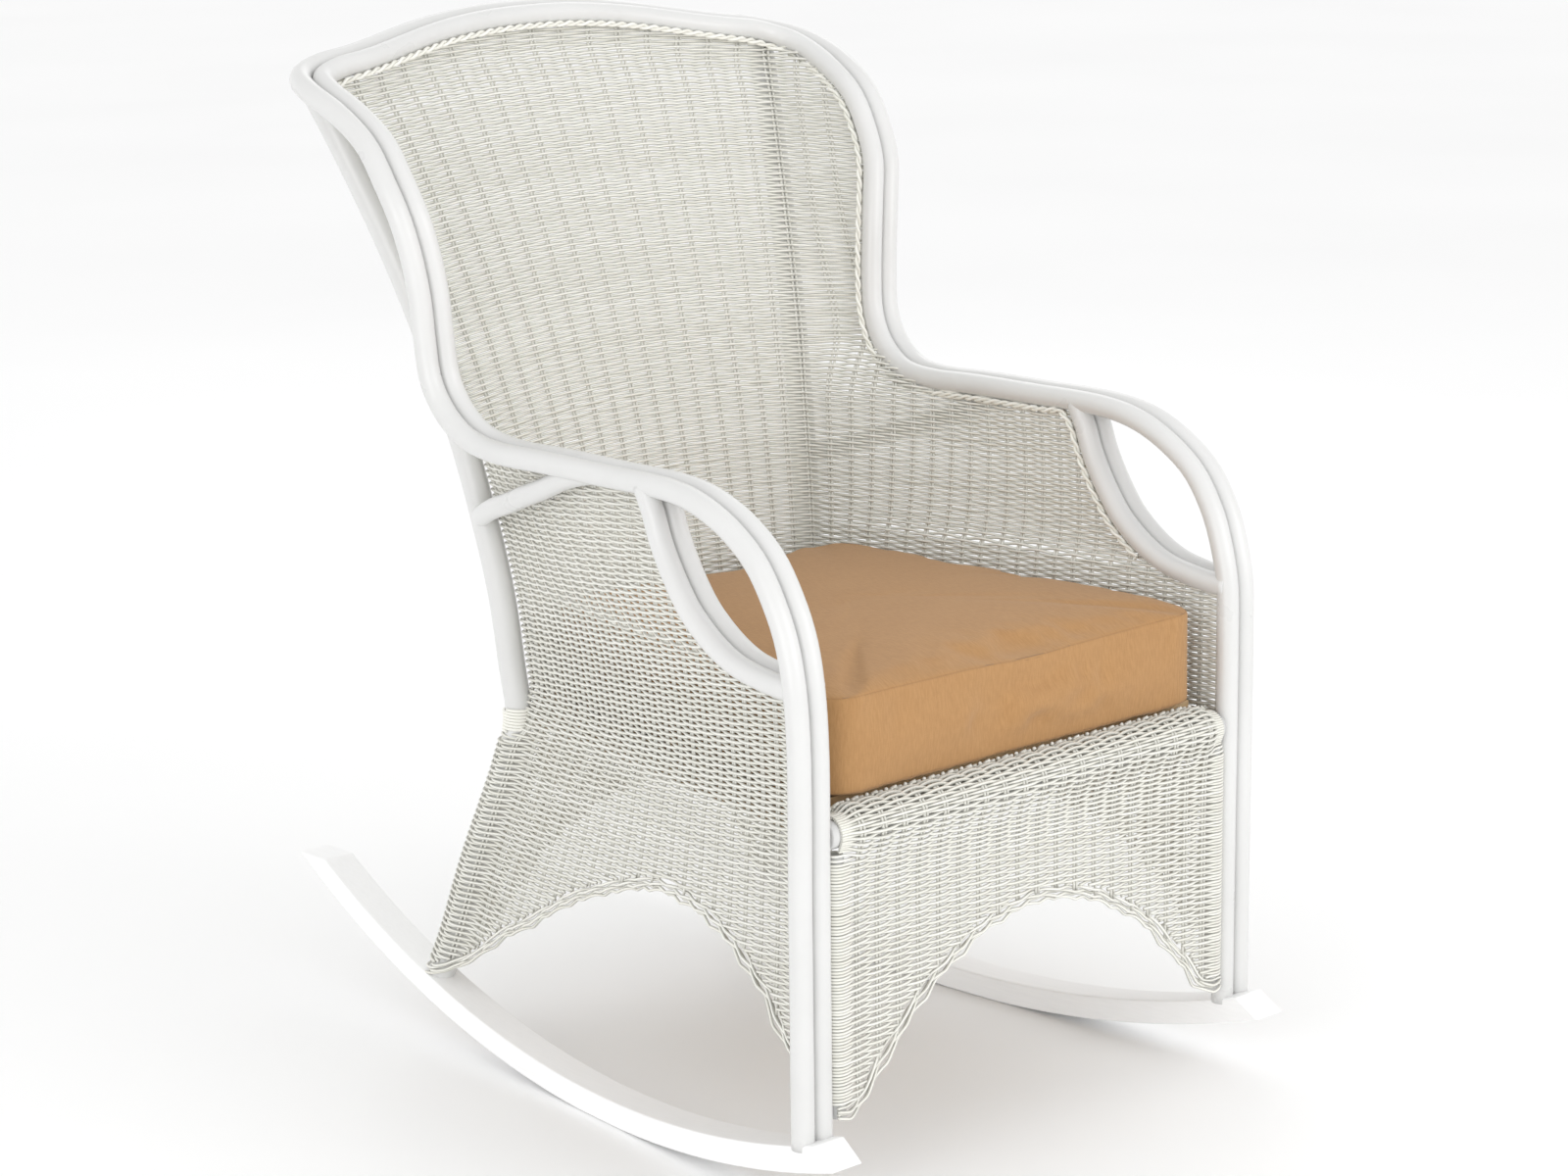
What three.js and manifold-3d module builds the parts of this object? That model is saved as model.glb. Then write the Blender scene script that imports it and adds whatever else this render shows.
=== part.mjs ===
// Wing-back wicker rocking chair with a loose box cushion.
// Millimetres, +Z up, the chair faces -Y and is symmetric about X = 0.
// The origin is on the floor under the middle of the chair.

import * as THREE from 'three';
import { mergeVertices } from 'three/addons/utils/BufferGeometryUtils.js';
import Module from 'manifold-3d';

const wasm = await Module();
wasm.setup();

// ---------------------------------------------------------------- dimensions

const GAP = 0.3;               // clearance between touching pieces
const SKIN = 6;                // thickness of the woven panels
const POLE_R = 11.1;           // bent frame poles
const PAIR = POLE_R + GAP / 2; // half the distance between the two poles of a pair
const POST_R = 13.8;           // rear posts
const POST_WRAP = 2.8;         // weave wrapped round a lower post
const EDGE_R = 8.4;            // poles at the sides of the front apron
const EDGE_WRAP = 2.5;         // weave wrapped round an apron pole
const BRAID_R = 3.4;           // twisted braid along the inner edges
const BRAID_OFFSET = { into: 14, out: 7.2 };
const BRAID_SIDES = 6;
const BRACE_R = 10.6;          // pole from under the arm to the rear post
const FACET_FIT = 0.985;       // sets a faceted pole between the circles inside and round it
const RAIL_R = 12;             // seat rails
const FRONT_RAIL_R = 13.8;
const ROLL_R = 23.4;           // weave rolled over the front rail

const LEG_X = 290;             // groove between the two poles of a front leg
const LEG_Y = -415;
const RAIL_Z = 358;            // seat rail height
const APRON_X = 258;           // apron side poles
const APRON_BOTTOM = 86;
const REAR_FOOT = { x: 236.2, y: 210 };
const CREASE = { inward: 9, forward: 17.5 };  // the woven corner from the post's middle line

const ROCKER = {
  radius: 1180, lowY: -95, width: 38.7, depth: 25.7,
  frontX: 292, frontY: -447, toeIn: 0.0833,
  bottomFront: -467, bottomRear: 467, topFront: -439, topRear: 416,
  flat: 72,                    // length of the level facet under the chair's weight
};

const ARCH_TOP = 262;          // height where the woven panels are whole again
const EAR_LEVEL = 975;         // above this the pole pair turns with the ear
const WING_LEVEL = 940;        // above this the panel rows lean to follow the crest
const WING_FOOT = 0.62;        // share of the pole above that level below the panels' top rows
const PANEL_INSET = 0.6 * GAP; // panels draw back this much from a shared corner

const FRAME_SAMPLES = 79;
const LOOP_SAMPLES = 14;
const POST_SAMPLES = 16;
const TOOL_BELOW = 40;         // cutting shapes reach this much below the real ones
const TOOL_WIDER = 24;

const SEAT = { slats: 6, slatWidth: 62, slatDepth: 11, front: -352, rear: 62 };
const CUSHION = {
  bottom: 381.8, top: 480, crown: 16, skin: 2, front: -412, rear: 78, corner: 34,
  clearance: 5, zipWidth: 300, zipHeight: 14, zipDepth: 1.3, zipSlot: 24,
};
const SCREW = { shaft: 2.2, head: 4.6, headDepth: 4, length: 44, sink: 6, room: 0.6 };

// One side of the double frame: foot, leg, arm, wing and ear, at the groove between the poles.
const SIDE_SPINE = [
  [290, -415, 40], [290, -415, 160], [290, -415, 300], [290, -415, 449], [291.6, -412, 503],
  [291.6, -403, 542], [292.5, -390, 573], [292.5, -365, 609], [291.6, -330, 634.5],
  [291.2, -292, 651], [290, -250, 659], [290, -140, 659.5], [288.5, -60, 659], [287.6, 0, 657.5],
  [288.5, 39, 661], [291.6, 62, 669.5], [294.6, 86, 689], [298, 102, 718], [300.6, 107, 760],
  [303.5, 108.6, 800], [309, 112.5, 840], [316, 119, 876], [321, 136, 912], [323.4, 160, 946],
  [326, 200, 973], [327, 240, 990], [321, 264, 998.5], [308, 280, 1004],
];
// The crest from the ear to the middle of the back, same groove.
const CREST_SPINE = [
  [281, 288.5, 1011], [250, 292, 1015], [216, 300, 1020], [178, 310, 1026.5], [139, 319, 1033],
  [100, 324.5, 1038], [50, 328.5, 1042], [0, 330, 1043],
];
const CREST_TILT = 8;          // degrees the rear crest pole sits above the front one
const LOOP_SPINE = [
  [290, -208, 659], [290, -214, 647], [290, -220, 635], [290, -229, 611.6], [290, -240.5, 590],
  [290, -254.5, 568.6], [290, -269.5, 550], [290, -288.5, 534], [290, -310.5, 520],
  [290, -334, 510], [290, -360, 504.5], [290, -388, 501], [290, -415, 500],
];
const POST_AXIS = [
  [243, 231, 20], [237, 212, 67], [221, 166, 200], [206, 126, 310], [202, 115.5, 353],
  [205.5, 120, 410], [211, 127.5, 487], [221, 144, 577], [233, 166, 667], [248, 194, 757],
  [266, 228, 847], [287, 267.5, 937], [303, 298, 1000],
];
const BRACE_AXIS = [
  [296, -130, 637], [295, -105, 635], [294, -80, 631.7], [291, -45, 624.4], [287, -10, 615.1],
  [281, 20, 605], [273, 50, 595.2], [263, 75, 586.3], [252, 98, 577.1], [240, 117, 571],
  [225, 136, 567],
];
const KNEE_Z = 353;            // the weave leaves the post here

// Lower edge of the woven side: distance along Y, then height.
const SIDE_ARCH = [
  [-415, 132], [-371, 141], [-352, 158], [-336, 180], [-314, 197], [-283, 218], [-260, 229],
  [-233, 238], [-187, 245], [-144, 243], [-94, 229], [-57, 215], [-17, 198], [30, 171],
  [66, 148], [98, 132], [135, 105], [156, 90], [175, 78], [240, 74],
];
// Lower edge of the front apron and of the back: distance from the middle, then height.
const FRONT_ARCH = [
  [0, 238], [20, 236], [60, 228], [85, 219], [110, 205], [138, 189], [155, 176], [170, 162],
  [185, 145], [200, 131], [212, 118], [222, 105], [232, 94], [244, 86], [270, 86],
];
const BACK_ARCH = [
  [0, 240], [40, 236], [75, 224], [105, 205], [130, 182], [152, 154], [172, 122], [190, 96],
  [205, 80], [240, 74],
];

// ------------------------------------------------------------------ materials

const PAINT = { color: 0xf1f1ee, roughness: 0.42, metalness: 0 };
const ROCKER_PAINT = { color: 0xe9eae9, roughness: 0.55, metalness: 0 };
const WEAVE = { color: 0xe6e5db, roughness: 0.6, metalness: 0 };
const TIMBER = { color: 0xcdb48c, roughness: 0.7, metalness: 0 };
const CANVAS = { color: 0xc0976a, roughness: 0.95, metalness: 0 };
const FOAM = { color: 0xe8dfc4, roughness: 1, metalness: 0 };
const ZIP = { color: 0x9c7a55, roughness: 0.6, metalness: 0 };
const STEEL = { color: 0xb8babd, roughness: 0.35, metalness: 1 };

const part = new THREE.Group();
part.name = 'wicker_rocking_chair';

function addPiece(name, geometry, look) {
  const mesh = new THREE.Mesh(geometry, new THREE.MeshStandardMaterial(look));
  mesh.name = name;
  part.add(mesh);
  return mesh;
}

// ----------------------------------------------------------------- solid tools

const v3 = (p) => new THREE.Vector3(p[0], p[1], p[2]);
const mirrored = (points) => points.map((p) => new THREE.Vector3(-p.x, p.y, p.z));

function toManifold(geometry) {
  const bare = new THREE.BufferGeometry();
  bare.setAttribute('position', geometry.getAttribute('position'));
  if (geometry.index) bare.setIndex(geometry.index);
  const welded = mergeVertices(bare, 1e-3);
  return new wasm.Manifold(new wasm.Mesh({
    numProp: 3,
    vertProperties: new Float32Array(welded.getAttribute('position').array),
    triVerts: new Uint32Array(welded.index.array),
  }));
}

function fromManifold(solid) {
  const mesh = solid.getMesh();
  const geometry = new THREE.BufferGeometry();
  geometry.setAttribute('position', new THREE.BufferAttribute(mesh.vertProperties.slice(), 3));
  geometry.setIndex(new THREE.BufferAttribute(mesh.triVerts.slice(), 1));
  geometry.computeVertexNormals();
  return geometry;
}

// Cuts every tool from the geometry and keeps the largest piece that is left.
function cut(geometry, tools) {
  let solid = toManifold(geometry);
  for (const tool of tools) solid = solid.subtract(toManifold(tool));
  const pieces = solid.decompose();
  pieces.sort((a, b) => b.volume() - a.volume());
  return fromManifold(pieces[0]);
}

function flipX(geometry) {
  const flipped = geometry.index ? geometry.toNonIndexed() : geometry.clone();
  const position = flipped.getAttribute('position');
  for (let i = 0; i < position.count; i += 3) {
    for (let k = 0; k < 3; k++) position.setX(i + k, -position.getX(i + k));
    const b = new THREE.Vector3().fromBufferAttribute(position, i + 1);
    const c = new THREE.Vector3().fromBufferAttribute(position, i + 2);
    position.setXYZ(i + 1, c.x, c.y, c.z);
    position.setXYZ(i + 2, b.x, b.y, b.z);
  }
  flipped.deleteAttribute('normal');
  flipped.deleteAttribute('uv');
  flipped.computeVertexNormals();
  return flipped;
}

// A path that passes straight through the points it is given.
class PointPath extends THREE.Curve {
  constructor(points) {
    super();
    this.points = points;
  }

  getPoint(t, target = new THREE.Vector3()) {
    const f = Math.min(Math.max(t, 0), 1) * (this.points.length - 1);
    const i = Math.min(Math.floor(f), this.points.length - 2);
    return target.lerpVectors(this.points[i], this.points[i + 1], f - i);
  }

  getUtoTmapping(u) {
    return u;
  }
}

// Evenly spaced points on a smooth curve through the given ones.
function smooth(points, count) {
  const curve = new THREE.CatmullRomCurve3(points, false, 'centripetal');
  curve.arcLengthDivisions = 800;
  return curve.getSpacedPoints(count - 1);
}

function tube(points, radius, sides) {
  const circle = new THREE.Shape();
  const corner = radius / Math.cos(Math.PI / sides) * FACET_FIT;
  for (let i = 0; i < sides; i++) {
    const a = 2 * Math.PI * (i + 0.5) / sides;
    const x = corner * Math.cos(a);
    const y = corner * Math.sin(a);
    if (i === 0) circle.moveTo(x, y);
    else circle.lineTo(x, y);
  }
  circle.closePath();
  return new THREE.ExtrudeGeometry(circle, {
    steps: points.length - 1, extrudePath: new PointPath(points), curveSegments: 1,
  });
}

// A solid sheet: a grid of middle points given a thickness along the grid's normals.
function sheet(grid, thickness) {
  const rows = grid.length;
  const columns = grid[0].length;
  const positions = [];
  for (const side of [1, -1]) {
    for (let i = 0; i < rows; i++) {
      for (let j = 0; j < columns; j++) {
        const n = gridNormal(grid, i, j);
        const p = grid[i][j].clone().addScaledVector(n, side * thickness / 2);
        positions.push(p.x, p.y, p.z);
      }
    }
  }
  const index = [];
  const at = (side, i, j) => side * rows * columns + i * columns + j;
  const quad = (a, b, c, d) => index.push(a, b, c, a, c, d);
  for (let i = 0; i < rows - 1; i++) {
    for (let j = 0; j < columns - 1; j++) {
      quad(at(0, i, j), at(0, i, j + 1), at(0, i + 1, j + 1), at(0, i + 1, j));
      quad(at(1, i, j), at(1, i + 1, j), at(1, i + 1, j + 1), at(1, i, j + 1));
    }
  }
  for (let j = 0; j < columns - 1; j++) {
    quad(at(0, 0, j), at(1, 0, j), at(1, 0, j + 1), at(0, 0, j + 1));
    quad(at(0, rows - 1, j), at(0, rows - 1, j + 1), at(1, rows - 1, j + 1), at(1, rows - 1, j));
  }
  for (let i = 0; i < rows - 1; i++) {
    quad(at(0, i, 0), at(0, i + 1, 0), at(1, i + 1, 0), at(1, i, 0));
    quad(at(0, i, columns - 1), at(1, i, columns - 1), at(1, i + 1, columns - 1),
      at(0, i + 1, columns - 1));
  }
  const geometry = new THREE.BufferGeometry();
  geometry.setAttribute('position', new THREE.Float32BufferAttribute(positions, 3));
  geometry.setIndex(index);
  geometry.computeVertexNormals();
  return geometry;
}

function gridNormal(grid, i, j) {
  if (grid.normals) return grid.normals[i][j];
  const rows = grid.length;
  const columns = grid[0].length;
  const across = grid[i][Math.min(j + 1, columns - 1)].clone().sub(grid[i][Math.max(j - 1, 0)]);
  const up = grid[Math.min(i + 1, rows - 1)][j].clone().sub(grid[Math.max(i - 1, 0)][j]);
  return across.cross(up).normalize();
}

function lookup(table, x) {
  if (x <= table[0][0]) return table[0][1];
  for (let i = 1; i < table.length; i++) {
    if (x <= table[i][0]) {
      const t = (x - table[i - 1][0]) / (table[i][0] - table[i - 1][0]);
      return THREE.MathUtils.lerp(table[i - 1][1], table[i][1], t);
    }
  }
  return table[table.length - 1][1];
}

// The point of a path at a height; the path must rise steadily there.
function atHeight(points, z) {
  for (let i = 1; i < points.length; i++) {
    if (points[i].z >= z && points[i - 1].z < z) {
      const t = (z - points[i - 1].z) / (points[i].z - points[i - 1].z);
      return points[i - 1].clone().lerp(points[i], t);
    }
  }
  return (z < points[0].z ? points[0] : points[points.length - 1]).clone();
}

// ------------------------------------------------------------- double frame

// Samples of the whole groove line: up one side, over the crest and down the other.
function frameSpine() {
  const side = SIDE_SPINE.map(v3);
  const crest = CREST_SPINE.map(v3);
  const half = [...side, ...crest];
  const whole = [...half, ...mirrored(half.slice(0, -1)).reverse()];
  return smooth(whole, FRAME_SAMPLES);
}

// Direction from the inner pole to the outer pole: level and square to the groove line,
// with the rear crest pole lifted a little.
function pairDirection(points, i) {
  const p = points[i];
  const sign = Math.sign(p.x) || 1;
  if (p.z < EAR_LEVEL) return new THREE.Vector3(sign, 0, 0);
  const run = points[Math.min(i + 1, points.length - 1)].clone().sub(points[Math.max(i - 1, 0)]);
  const square = new THREE.Vector3(run.y, -run.x, 0).normalize();
  const lift = Math.tan(THREE.MathUtils.degToRad(CREST_TILT)) * Math.max(square.y, 0);
  return new THREE.Vector3(square.x, square.y, lift).normalize();
}

const spine = frameSpine();
const beside = (offset) => spine.map((p, i) => {
  return p.clone().addScaledVector(pairDirection(spine, i), offset);
});
const innerAxis = beside(-PAIR);
const outerAxis = beside(PAIR);
const ear = spine.findIndex((p) => p.y > 283);       // first sample past the ear corner
const last = spine.length - 1;

// Shortens the end of a run of points so that two butted poles keep their clearance.
function pullBack(points, atEnd) {
  const run = points.map((p) => p.clone());
  const i = atEnd ? run.length - 1 : 0;
  const j = atEnd ? run.length - 2 : 1;
  const step = run[j].clone().sub(run[i]).setLength(GAP / 2 + 0.02);
  run[i].add(step);
  return run;
}

const sideRun = (axis) => pullBack(axis.slice(0, ear + 1), true);
const crestRun = (axis) => axis.slice(ear, last - ear + 1);

// Rockers ------------------------------------------------------------------

function rockerBottom(y) {
  const r = ROCKER.radius;
  return r - Math.sqrt(r * r - (y - ROCKER.lowY) ** 2);
}

// With a clearance, the profile is a tool: raised on top and open below.
function rockerProfile(clearance) {
  const steps = 11;
  const bottom = [];
  for (let i = 0; i <= steps; i++) {
    bottom.push(THREE.MathUtils.lerp(ROCKER.bottomFront, ROCKER.lowY - ROCKER.flat / 2, i / steps));
  }
  for (let i = 0; i <= steps; i++) {
    bottom.push(THREE.MathUtils.lerp(ROCKER.lowY + ROCKER.flat / 2, ROCKER.bottomRear, i / steps));
  }
  const level = rockerBottom(ROCKER.lowY + ROCKER.flat / 2);
  const profile = new THREE.Shape();
  bottom.forEach((y, i) => {
    const z = rockerBottom(y) - level - (clearance ? TOOL_BELOW : 0);
    if (i === 0) profile.moveTo(y, z);
    else profile.lineTo(y, z);
  });
  for (let i = 2 * steps; i >= 0; i--) {
    const y = THREE.MathUtils.lerp(ROCKER.topFront, ROCKER.topRear, i / (2 * steps));
    const tilt = Math.asin((y - ROCKER.lowY) / ROCKER.radius);
    profile.lineTo(y, rockerBottom(y) + ROCKER.depth / Math.cos(tilt) - level + clearance);
  }
  profile.closePath();
  return profile;
}

function rocker(clearance) {
  const width = ROCKER.width + (clearance ? TOOL_WIDER : 0);
  const board = new THREE.ExtrudeGeometry(rockerProfile(clearance), {
    depth: width, bevelEnabled: false, steps: 1,
  });
  const position = board.getAttribute('position');
  for (let i = 0; i < position.count; i++) {
    const y = position.getX(i);
    const z = position.getY(i);
    const centre = ROCKER.frontX - ROCKER.toeIn * (y - ROCKER.frontY);
    position.setXYZ(i, centre - width / 2 + position.getZ(i), y, z);
  }
  board.computeVertexNormals();
  return board;
}

// Screws come up through the rocker into the feet.
function upright(radius, x, y, z0, z1, sides) {
  const profile = new THREE.CylinderGeometry(radius, radius, z1 - z0, sides);
  profile.rotateX(Math.PI / 2);
  profile.translate(x, y, (z0 + z1) / 2);
  return profile;
}

function screw(x, y, headZ) {
  const s = SCREW;
  const profile = [
    [0, 0], [s.head, 0], [s.shaft, s.headDepth], [s.shaft, s.length - 4], [0, s.length],
  ].map(([r, z]) => new THREE.Vector2(r, z));
  const solid = new THREE.LatheGeometry(profile, 8);
  solid.rotateX(Math.PI / 2);
  solid.translate(x, y, headZ);
  return solid;
}

function screwBore(x, y, headZ) {
  return [
    upright(SCREW.shaft + GAP, x, y, headZ - TOOL_BELOW, headZ + SCREW.length + SCREW.room, 8),
    upright(SCREW.head + GAP, x, y, headZ - TOOL_BELOW, headZ + SCREW.headDepth + GAP, 8),
  ];
}

const FEET = [
  { name: 'front_inner', x: LEG_X - PAIR, y: LEG_Y },
  { name: 'front_outer', x: LEG_X + PAIR, y: LEG_Y },
  { name: 'rear', x: REAR_FOOT.x, y: REAR_FOOT.y },
];
for (const foot of FEET) {
  foot.headZ = rockerBottom(foot.y) + SCREW.sink;
}
const rockerTool = rocker(GAP);
const bores = FEET.flatMap((foot) => screwBore(foot.x, foot.y, foot.headZ));

// --------------------------------------------------------------- woven shell

const loopInner = smooth(LOOP_SPINE.map((p) => new THREE.Vector3(p[0] - PAIR, p[1], p[2])), LOOP_SAMPLES);
const loopOuter = smooth(LOOP_SPINE.map((p) => new THREE.Vector3(p[0] + PAIR, p[1], p[2])), LOOP_SAMPLES);
const postAxis = smooth(POST_AXIS.map(v3), POST_SAMPLES);
const legInner = innerAxis.slice(0, ear + 1);

// Where the panel meets the frame at its front edge, at a height.
function frontEdge(z) {
  const loopLow = loopInner[loopInner.length - 1].z;
  if (z <= loopLow) return new THREE.Vector3(LEG_X - PAIR, LEG_Y, z);
  if (z < 657) return atHeight([...loopInner].reverse(), z);
  const wing = legInner.filter((p) => p.y > 15);
  return atHeight(wing, z);
}

// The corner between side and back: just in front of the post above the knee, on it below.
function crease(z) {
  const post = atHeight(postAxis, z);
  const free = THREE.MathUtils.smoothstep(z, KNEE_Z - 6, KNEE_Z + 42);
  return new THREE.Vector3(post.x - CREASE.inward * free, post.y - CREASE.forward * free, z);
}

// How strongly a panel row keeps straight before it turns in to the post.
function bow(z) {
  return lookup([[250, 1.05], [450, 1.5], [560, 2.2], [655, 3.4], [700, 1.7], [800, 1.25]], z);
}

function sidePoint(front, corner, s, power) {
  return new THREE.Vector3(
    corner.x + (front.x - corner.x) * (1 - s ** power),
    THREE.MathUtils.lerp(front.y, corner.y, s),
    THREE.MathUtils.lerp(front.z, corner.z, s),
  );
}

const SIDE_STEPS = [0, 0.1, 0.21, 0.34, 0.48, 0.62, 0.75, 0.87, 0.95, 1];
const BACK_STEPS = 10;
const LEVELS = [
  ARCH_TOP, KNEE_Z, 400, 500, 520, 545, 580, 620, 657, 660, 668, 684, 710, 760, 820, 880,
  WING_LEVEL,
];

// One row of the shell from the front left edge, round the back, to the front right edge.
function shellRow(front, corner, power, bulge) {
  const side = SIDE_STEPS.map((s) => sidePoint(front, corner, s, power));
  const back = [];
  for (let j = 1; j < BACK_STEPS; j++) {
    const t = j / BACK_STEPS;
    const dip = 4 * t * (1 - t);
    back.push(new THREE.Vector3(corner.x * (1 - 2 * t), corner.y + bulge * dip, corner.z));
  }
  return [...side, ...back, ...mirrored(side).reverse()];
}

function archHeight(p) {
  const onBack = p.y > 100 && Math.abs(p.x) < atHeight(postAxis, 150).x - 18;
  return onBack ? lookup(BACK_ARCH, Math.abs(p.x)) : lookup(SIDE_ARCH, p.y);
}

function backBulge(z) {
  return lookup([[353, 4], [500, 12], [700, 22], [900, 26], [WING_LEVEL, 26]], z);
}

function shellGrid() {
  const rows = [];
  const steps = 4;
  for (let i = 0; i < steps; i++) {
    const t = i / steps;
    // Rows under the arch close up towards it; the plan shape follows each point's own height.
    const base = shellRow(frontEdge(150), crease(150), 1.05, 0);
    rows.push(base.map((p) => {
      const z = THREE.MathUtils.lerp(archHeight(p), ARCH_TOP, t);
      const at = shellRow(frontEdge(z), crease(z), bow(z), 0);
      const q = at[base.indexOf(p)];
      return new THREE.Vector3(q.x, q.y, z);
    }));
  }
  for (const z of LEVELS) rows.push(shellRow(frontEdge(z), crease(z), bow(z), backBulge(z)));
  rows.push(...crestRows());
  return rows;
}

// The last rows fan from the wing level to the inner crest pole.
function crestRows() {
  const level = shellRow(frontEdge(WING_LEVEL), crease(WING_LEVEL), bow(WING_LEVEL),
    backBulge(WING_LEVEL));
  const corner = SIDE_STEPS.length - 1;
  const crest = innerAxis.filter((p) => p.z > WING_LEVEL && p.x > 0 && p.y > 250);
  const top = [];
  const wing = innerAxis.slice(0, ear + 3).filter((p) => p.z > WING_LEVEL);
  const along = new PointPath(wing);
  for (let j = 0; j <= corner; j++) {
    top.push(along.getPoint(WING_FOOT + (1 - WING_FOOT) * SIDE_STEPS[j]));
  }
  const crestX = [...crest].sort((a, b) => a.x - b.x);
  const first = top[corner];
  for (let j = 1; j < BACK_STEPS; j++) {
    const x = first.x * (1 - 2 * j / BACK_STEPS);
    const y = lookup(crestX.map((p) => [p.x, p.y]), Math.abs(x));
    const z = lookup(crestX.map((p) => [p.x, p.z]), Math.abs(x));
    top.push(new THREE.Vector3(x, y, z));
  }
  top.push(...mirrored(top.slice(0, corner + 1)).reverse());
  return [0.35, 0.7, 1].map((t) => level.map((p, j) => p.clone().lerp(top[j], t)));
}

const shell = shellGrid();
shell.normals = null;
shell.normals = shell.map((row, i) => row.map((p, j) => {
  const grid = shell.slice();
  grid.normals = null;
  return gridNormal(grid, i, j);
}));

// A run of shell columns as its own panel, drawn back a little from the columns it ends on.
function shellPanel(from, to) {
  const grid = shell.map((row) => row.slice(from, to + 1).map((p) => p.clone()));
  grid.normals = shell.normals.map((row) => row.slice(from, to + 1));
  const inset = (row, end, next) => {
    const step = row[next].clone().sub(row[end]).setLength(PANEL_INSET);
    row[end].add(step);
  };
  for (const row of grid) {
    if (from > 0) inset(row, 0, 1);
    if (to < shell[0].length - 1) inset(row, row.length - 1, row.length - 2);
  }
  return sheet(grid, SKIN);
}

// -------------------------------------------------------------- frame pieces

const SIDES = 8;
const outerSide = tube(sideRun(outerAxis), POLE_R, SIDES);
const innerSide = tube(sideRun(innerAxis), POLE_R, SIDES);
const outerCrest = tube(crestRun(outerAxis), POLE_R, SIDES);
const innerCrest = tube(crestRun(innerAxis), POLE_R, SIDES);
const clear = (points, radius, sides = SIDES) => tube(points, radius + GAP, sides);
const innerSideTool = clear(innerAxis.slice(0, ear + 1), POLE_R);
const outerSideTool = clear(outerAxis.slice(0, ear + 1), POLE_R);
const innerCrestTool = clear(crestRun(innerAxis), POLE_R);
const outerCrestTool = clear(crestRun(outerAxis), POLE_R);
const pairTool = tube(outerAxis.slice(0, ear + 1), POLE_R + 0.15, SIDES);
const postTool = clear(postAxis, POST_R);

const frameTools = [innerSideTool, outerSideTool, innerCrestTool, outerCrestTool];
const both = (geometry) => [geometry, flipX(geometry)];
const named = (name) => [`${name}_left`, `${name}_right`];

// The sitter's left is +X.
function addPair(name, geometry, look) {
  const [left, right] = both(geometry);
  const [leftName, rightName] = named(name);
  addPiece(leftName, left, look);
  addPiece(rightName, right, look);
}

addPair('rocker', cut(rocker(0), bores), ROCKER_PAINT);
for (const foot of FEET) {
  addPair(`rocker_screw_${foot.name}`, screw(foot.x, foot.y, foot.headZ), STEEL);
}
addPair('outer_side_pole', cut(outerSide, [rockerTool, ...bores]), PAINT);
addPair('inner_side_pole', cut(innerSide, [rockerTool, pairTool, ...bores]), PAINT);
const sidesTools = [...both(outerSideTool), ...both(innerSideTool)];
addPiece('outer_crest_pole', cut(outerCrest, sidesTools), PAINT);
addPiece('inner_crest_pole', cut(innerCrest, [...sidesTools, outerCrestTool]), PAINT);

const loopTools = [outerSideTool, innerSideTool];
addPair('arm_loop_outer', cut(tube(loopOuter, POLE_R, SIDES), loopTools), PAINT);
addPair('arm_loop_inner', cut(tube(loopInner, POLE_R, SIDES), loopTools), PAINT);

const post = cut(tube(postAxis, POST_R, SIDES), [rockerTool, ...frameTools, ...bores]);
addPair('back_post', post, PAINT);

const braceAxis = smooth(BRACE_AXIS.map(v3), 9);
const brace = cut(tube(braceAxis, BRACE_R, SIDES), [postTool, outerSideTool, innerSideTool]);
addPair('arm_brace', brace, PAINT);
const braceTool = clear(braceAxis, BRACE_R);

// Seat rails ---------------------------------------------------------------

const frontRailAxis = [[-268, LEG_Y + 4, RAIL_Z], [268, LEG_Y + 4, RAIL_Z]].map(v3);
const frontRailTool = clear(frontRailAxis, FRONT_RAIL_R);
const legTools = [innerSideTool, flipX(innerSideTool)];
addPiece('seat_rail_front', cut(tube(frontRailAxis, FRONT_RAIL_R, SIDES), legTools), PAINT);

const wrapAxis = [50, 100, 160, 220, 280, KNEE_Z - 10.5].map((z) => atHeight(postAxis, z));
const wrapTool = clear(wrapAxis, POST_R + POST_WRAP + 0.4);
const sideRailAxis = [[256, LEG_Y + 4, RAIL_Z], [183, 108, RAIL_Z]].map(v3);
const sideRailTool = clear(sideRailAxis, RAIL_R);
const sideRail = cut(tube(sideRailAxis, RAIL_R, SIDES), [frontRailTool, postTool, wrapTool]);
addPair('seat_rail_side', sideRail, TIMBER);
const rearRailAxis = [[-190, 92, RAIL_Z], [190, 92, RAIL_Z]].map(v3);
const rearRail = cut(tube(rearRailAxis, RAIL_R, SIDES), both(sideRailTool));
addPiece('seat_rail_rear', rearRail, TIMBER);

function slat(index) {
  const y = THREE.MathUtils.lerp(SEAT.front, SEAT.rear, index / (SEAT.slats - 1));
  const half = frontEdge(RAIL_Z).x - (frontEdge(RAIL_Z).x - crease(RAIL_Z).x)
    * (y - LEG_Y) / (crease(RAIL_Z).y - LEG_Y) - 12;
  const board = new THREE.BoxGeometry(2 * half, SEAT.slatWidth, SEAT.slatDepth);
  board.translate(0, y, RAIL_Z + RAIL_R + GAP + SEAT.slatDepth / 2);
  return board;
}
for (let i = 0; i < SEAT.slats; i++) addPiece(`seat_slat_${i + 1}`, slat(i), TIMBER);

// Woven panels -------------------------------------------------------------

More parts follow.
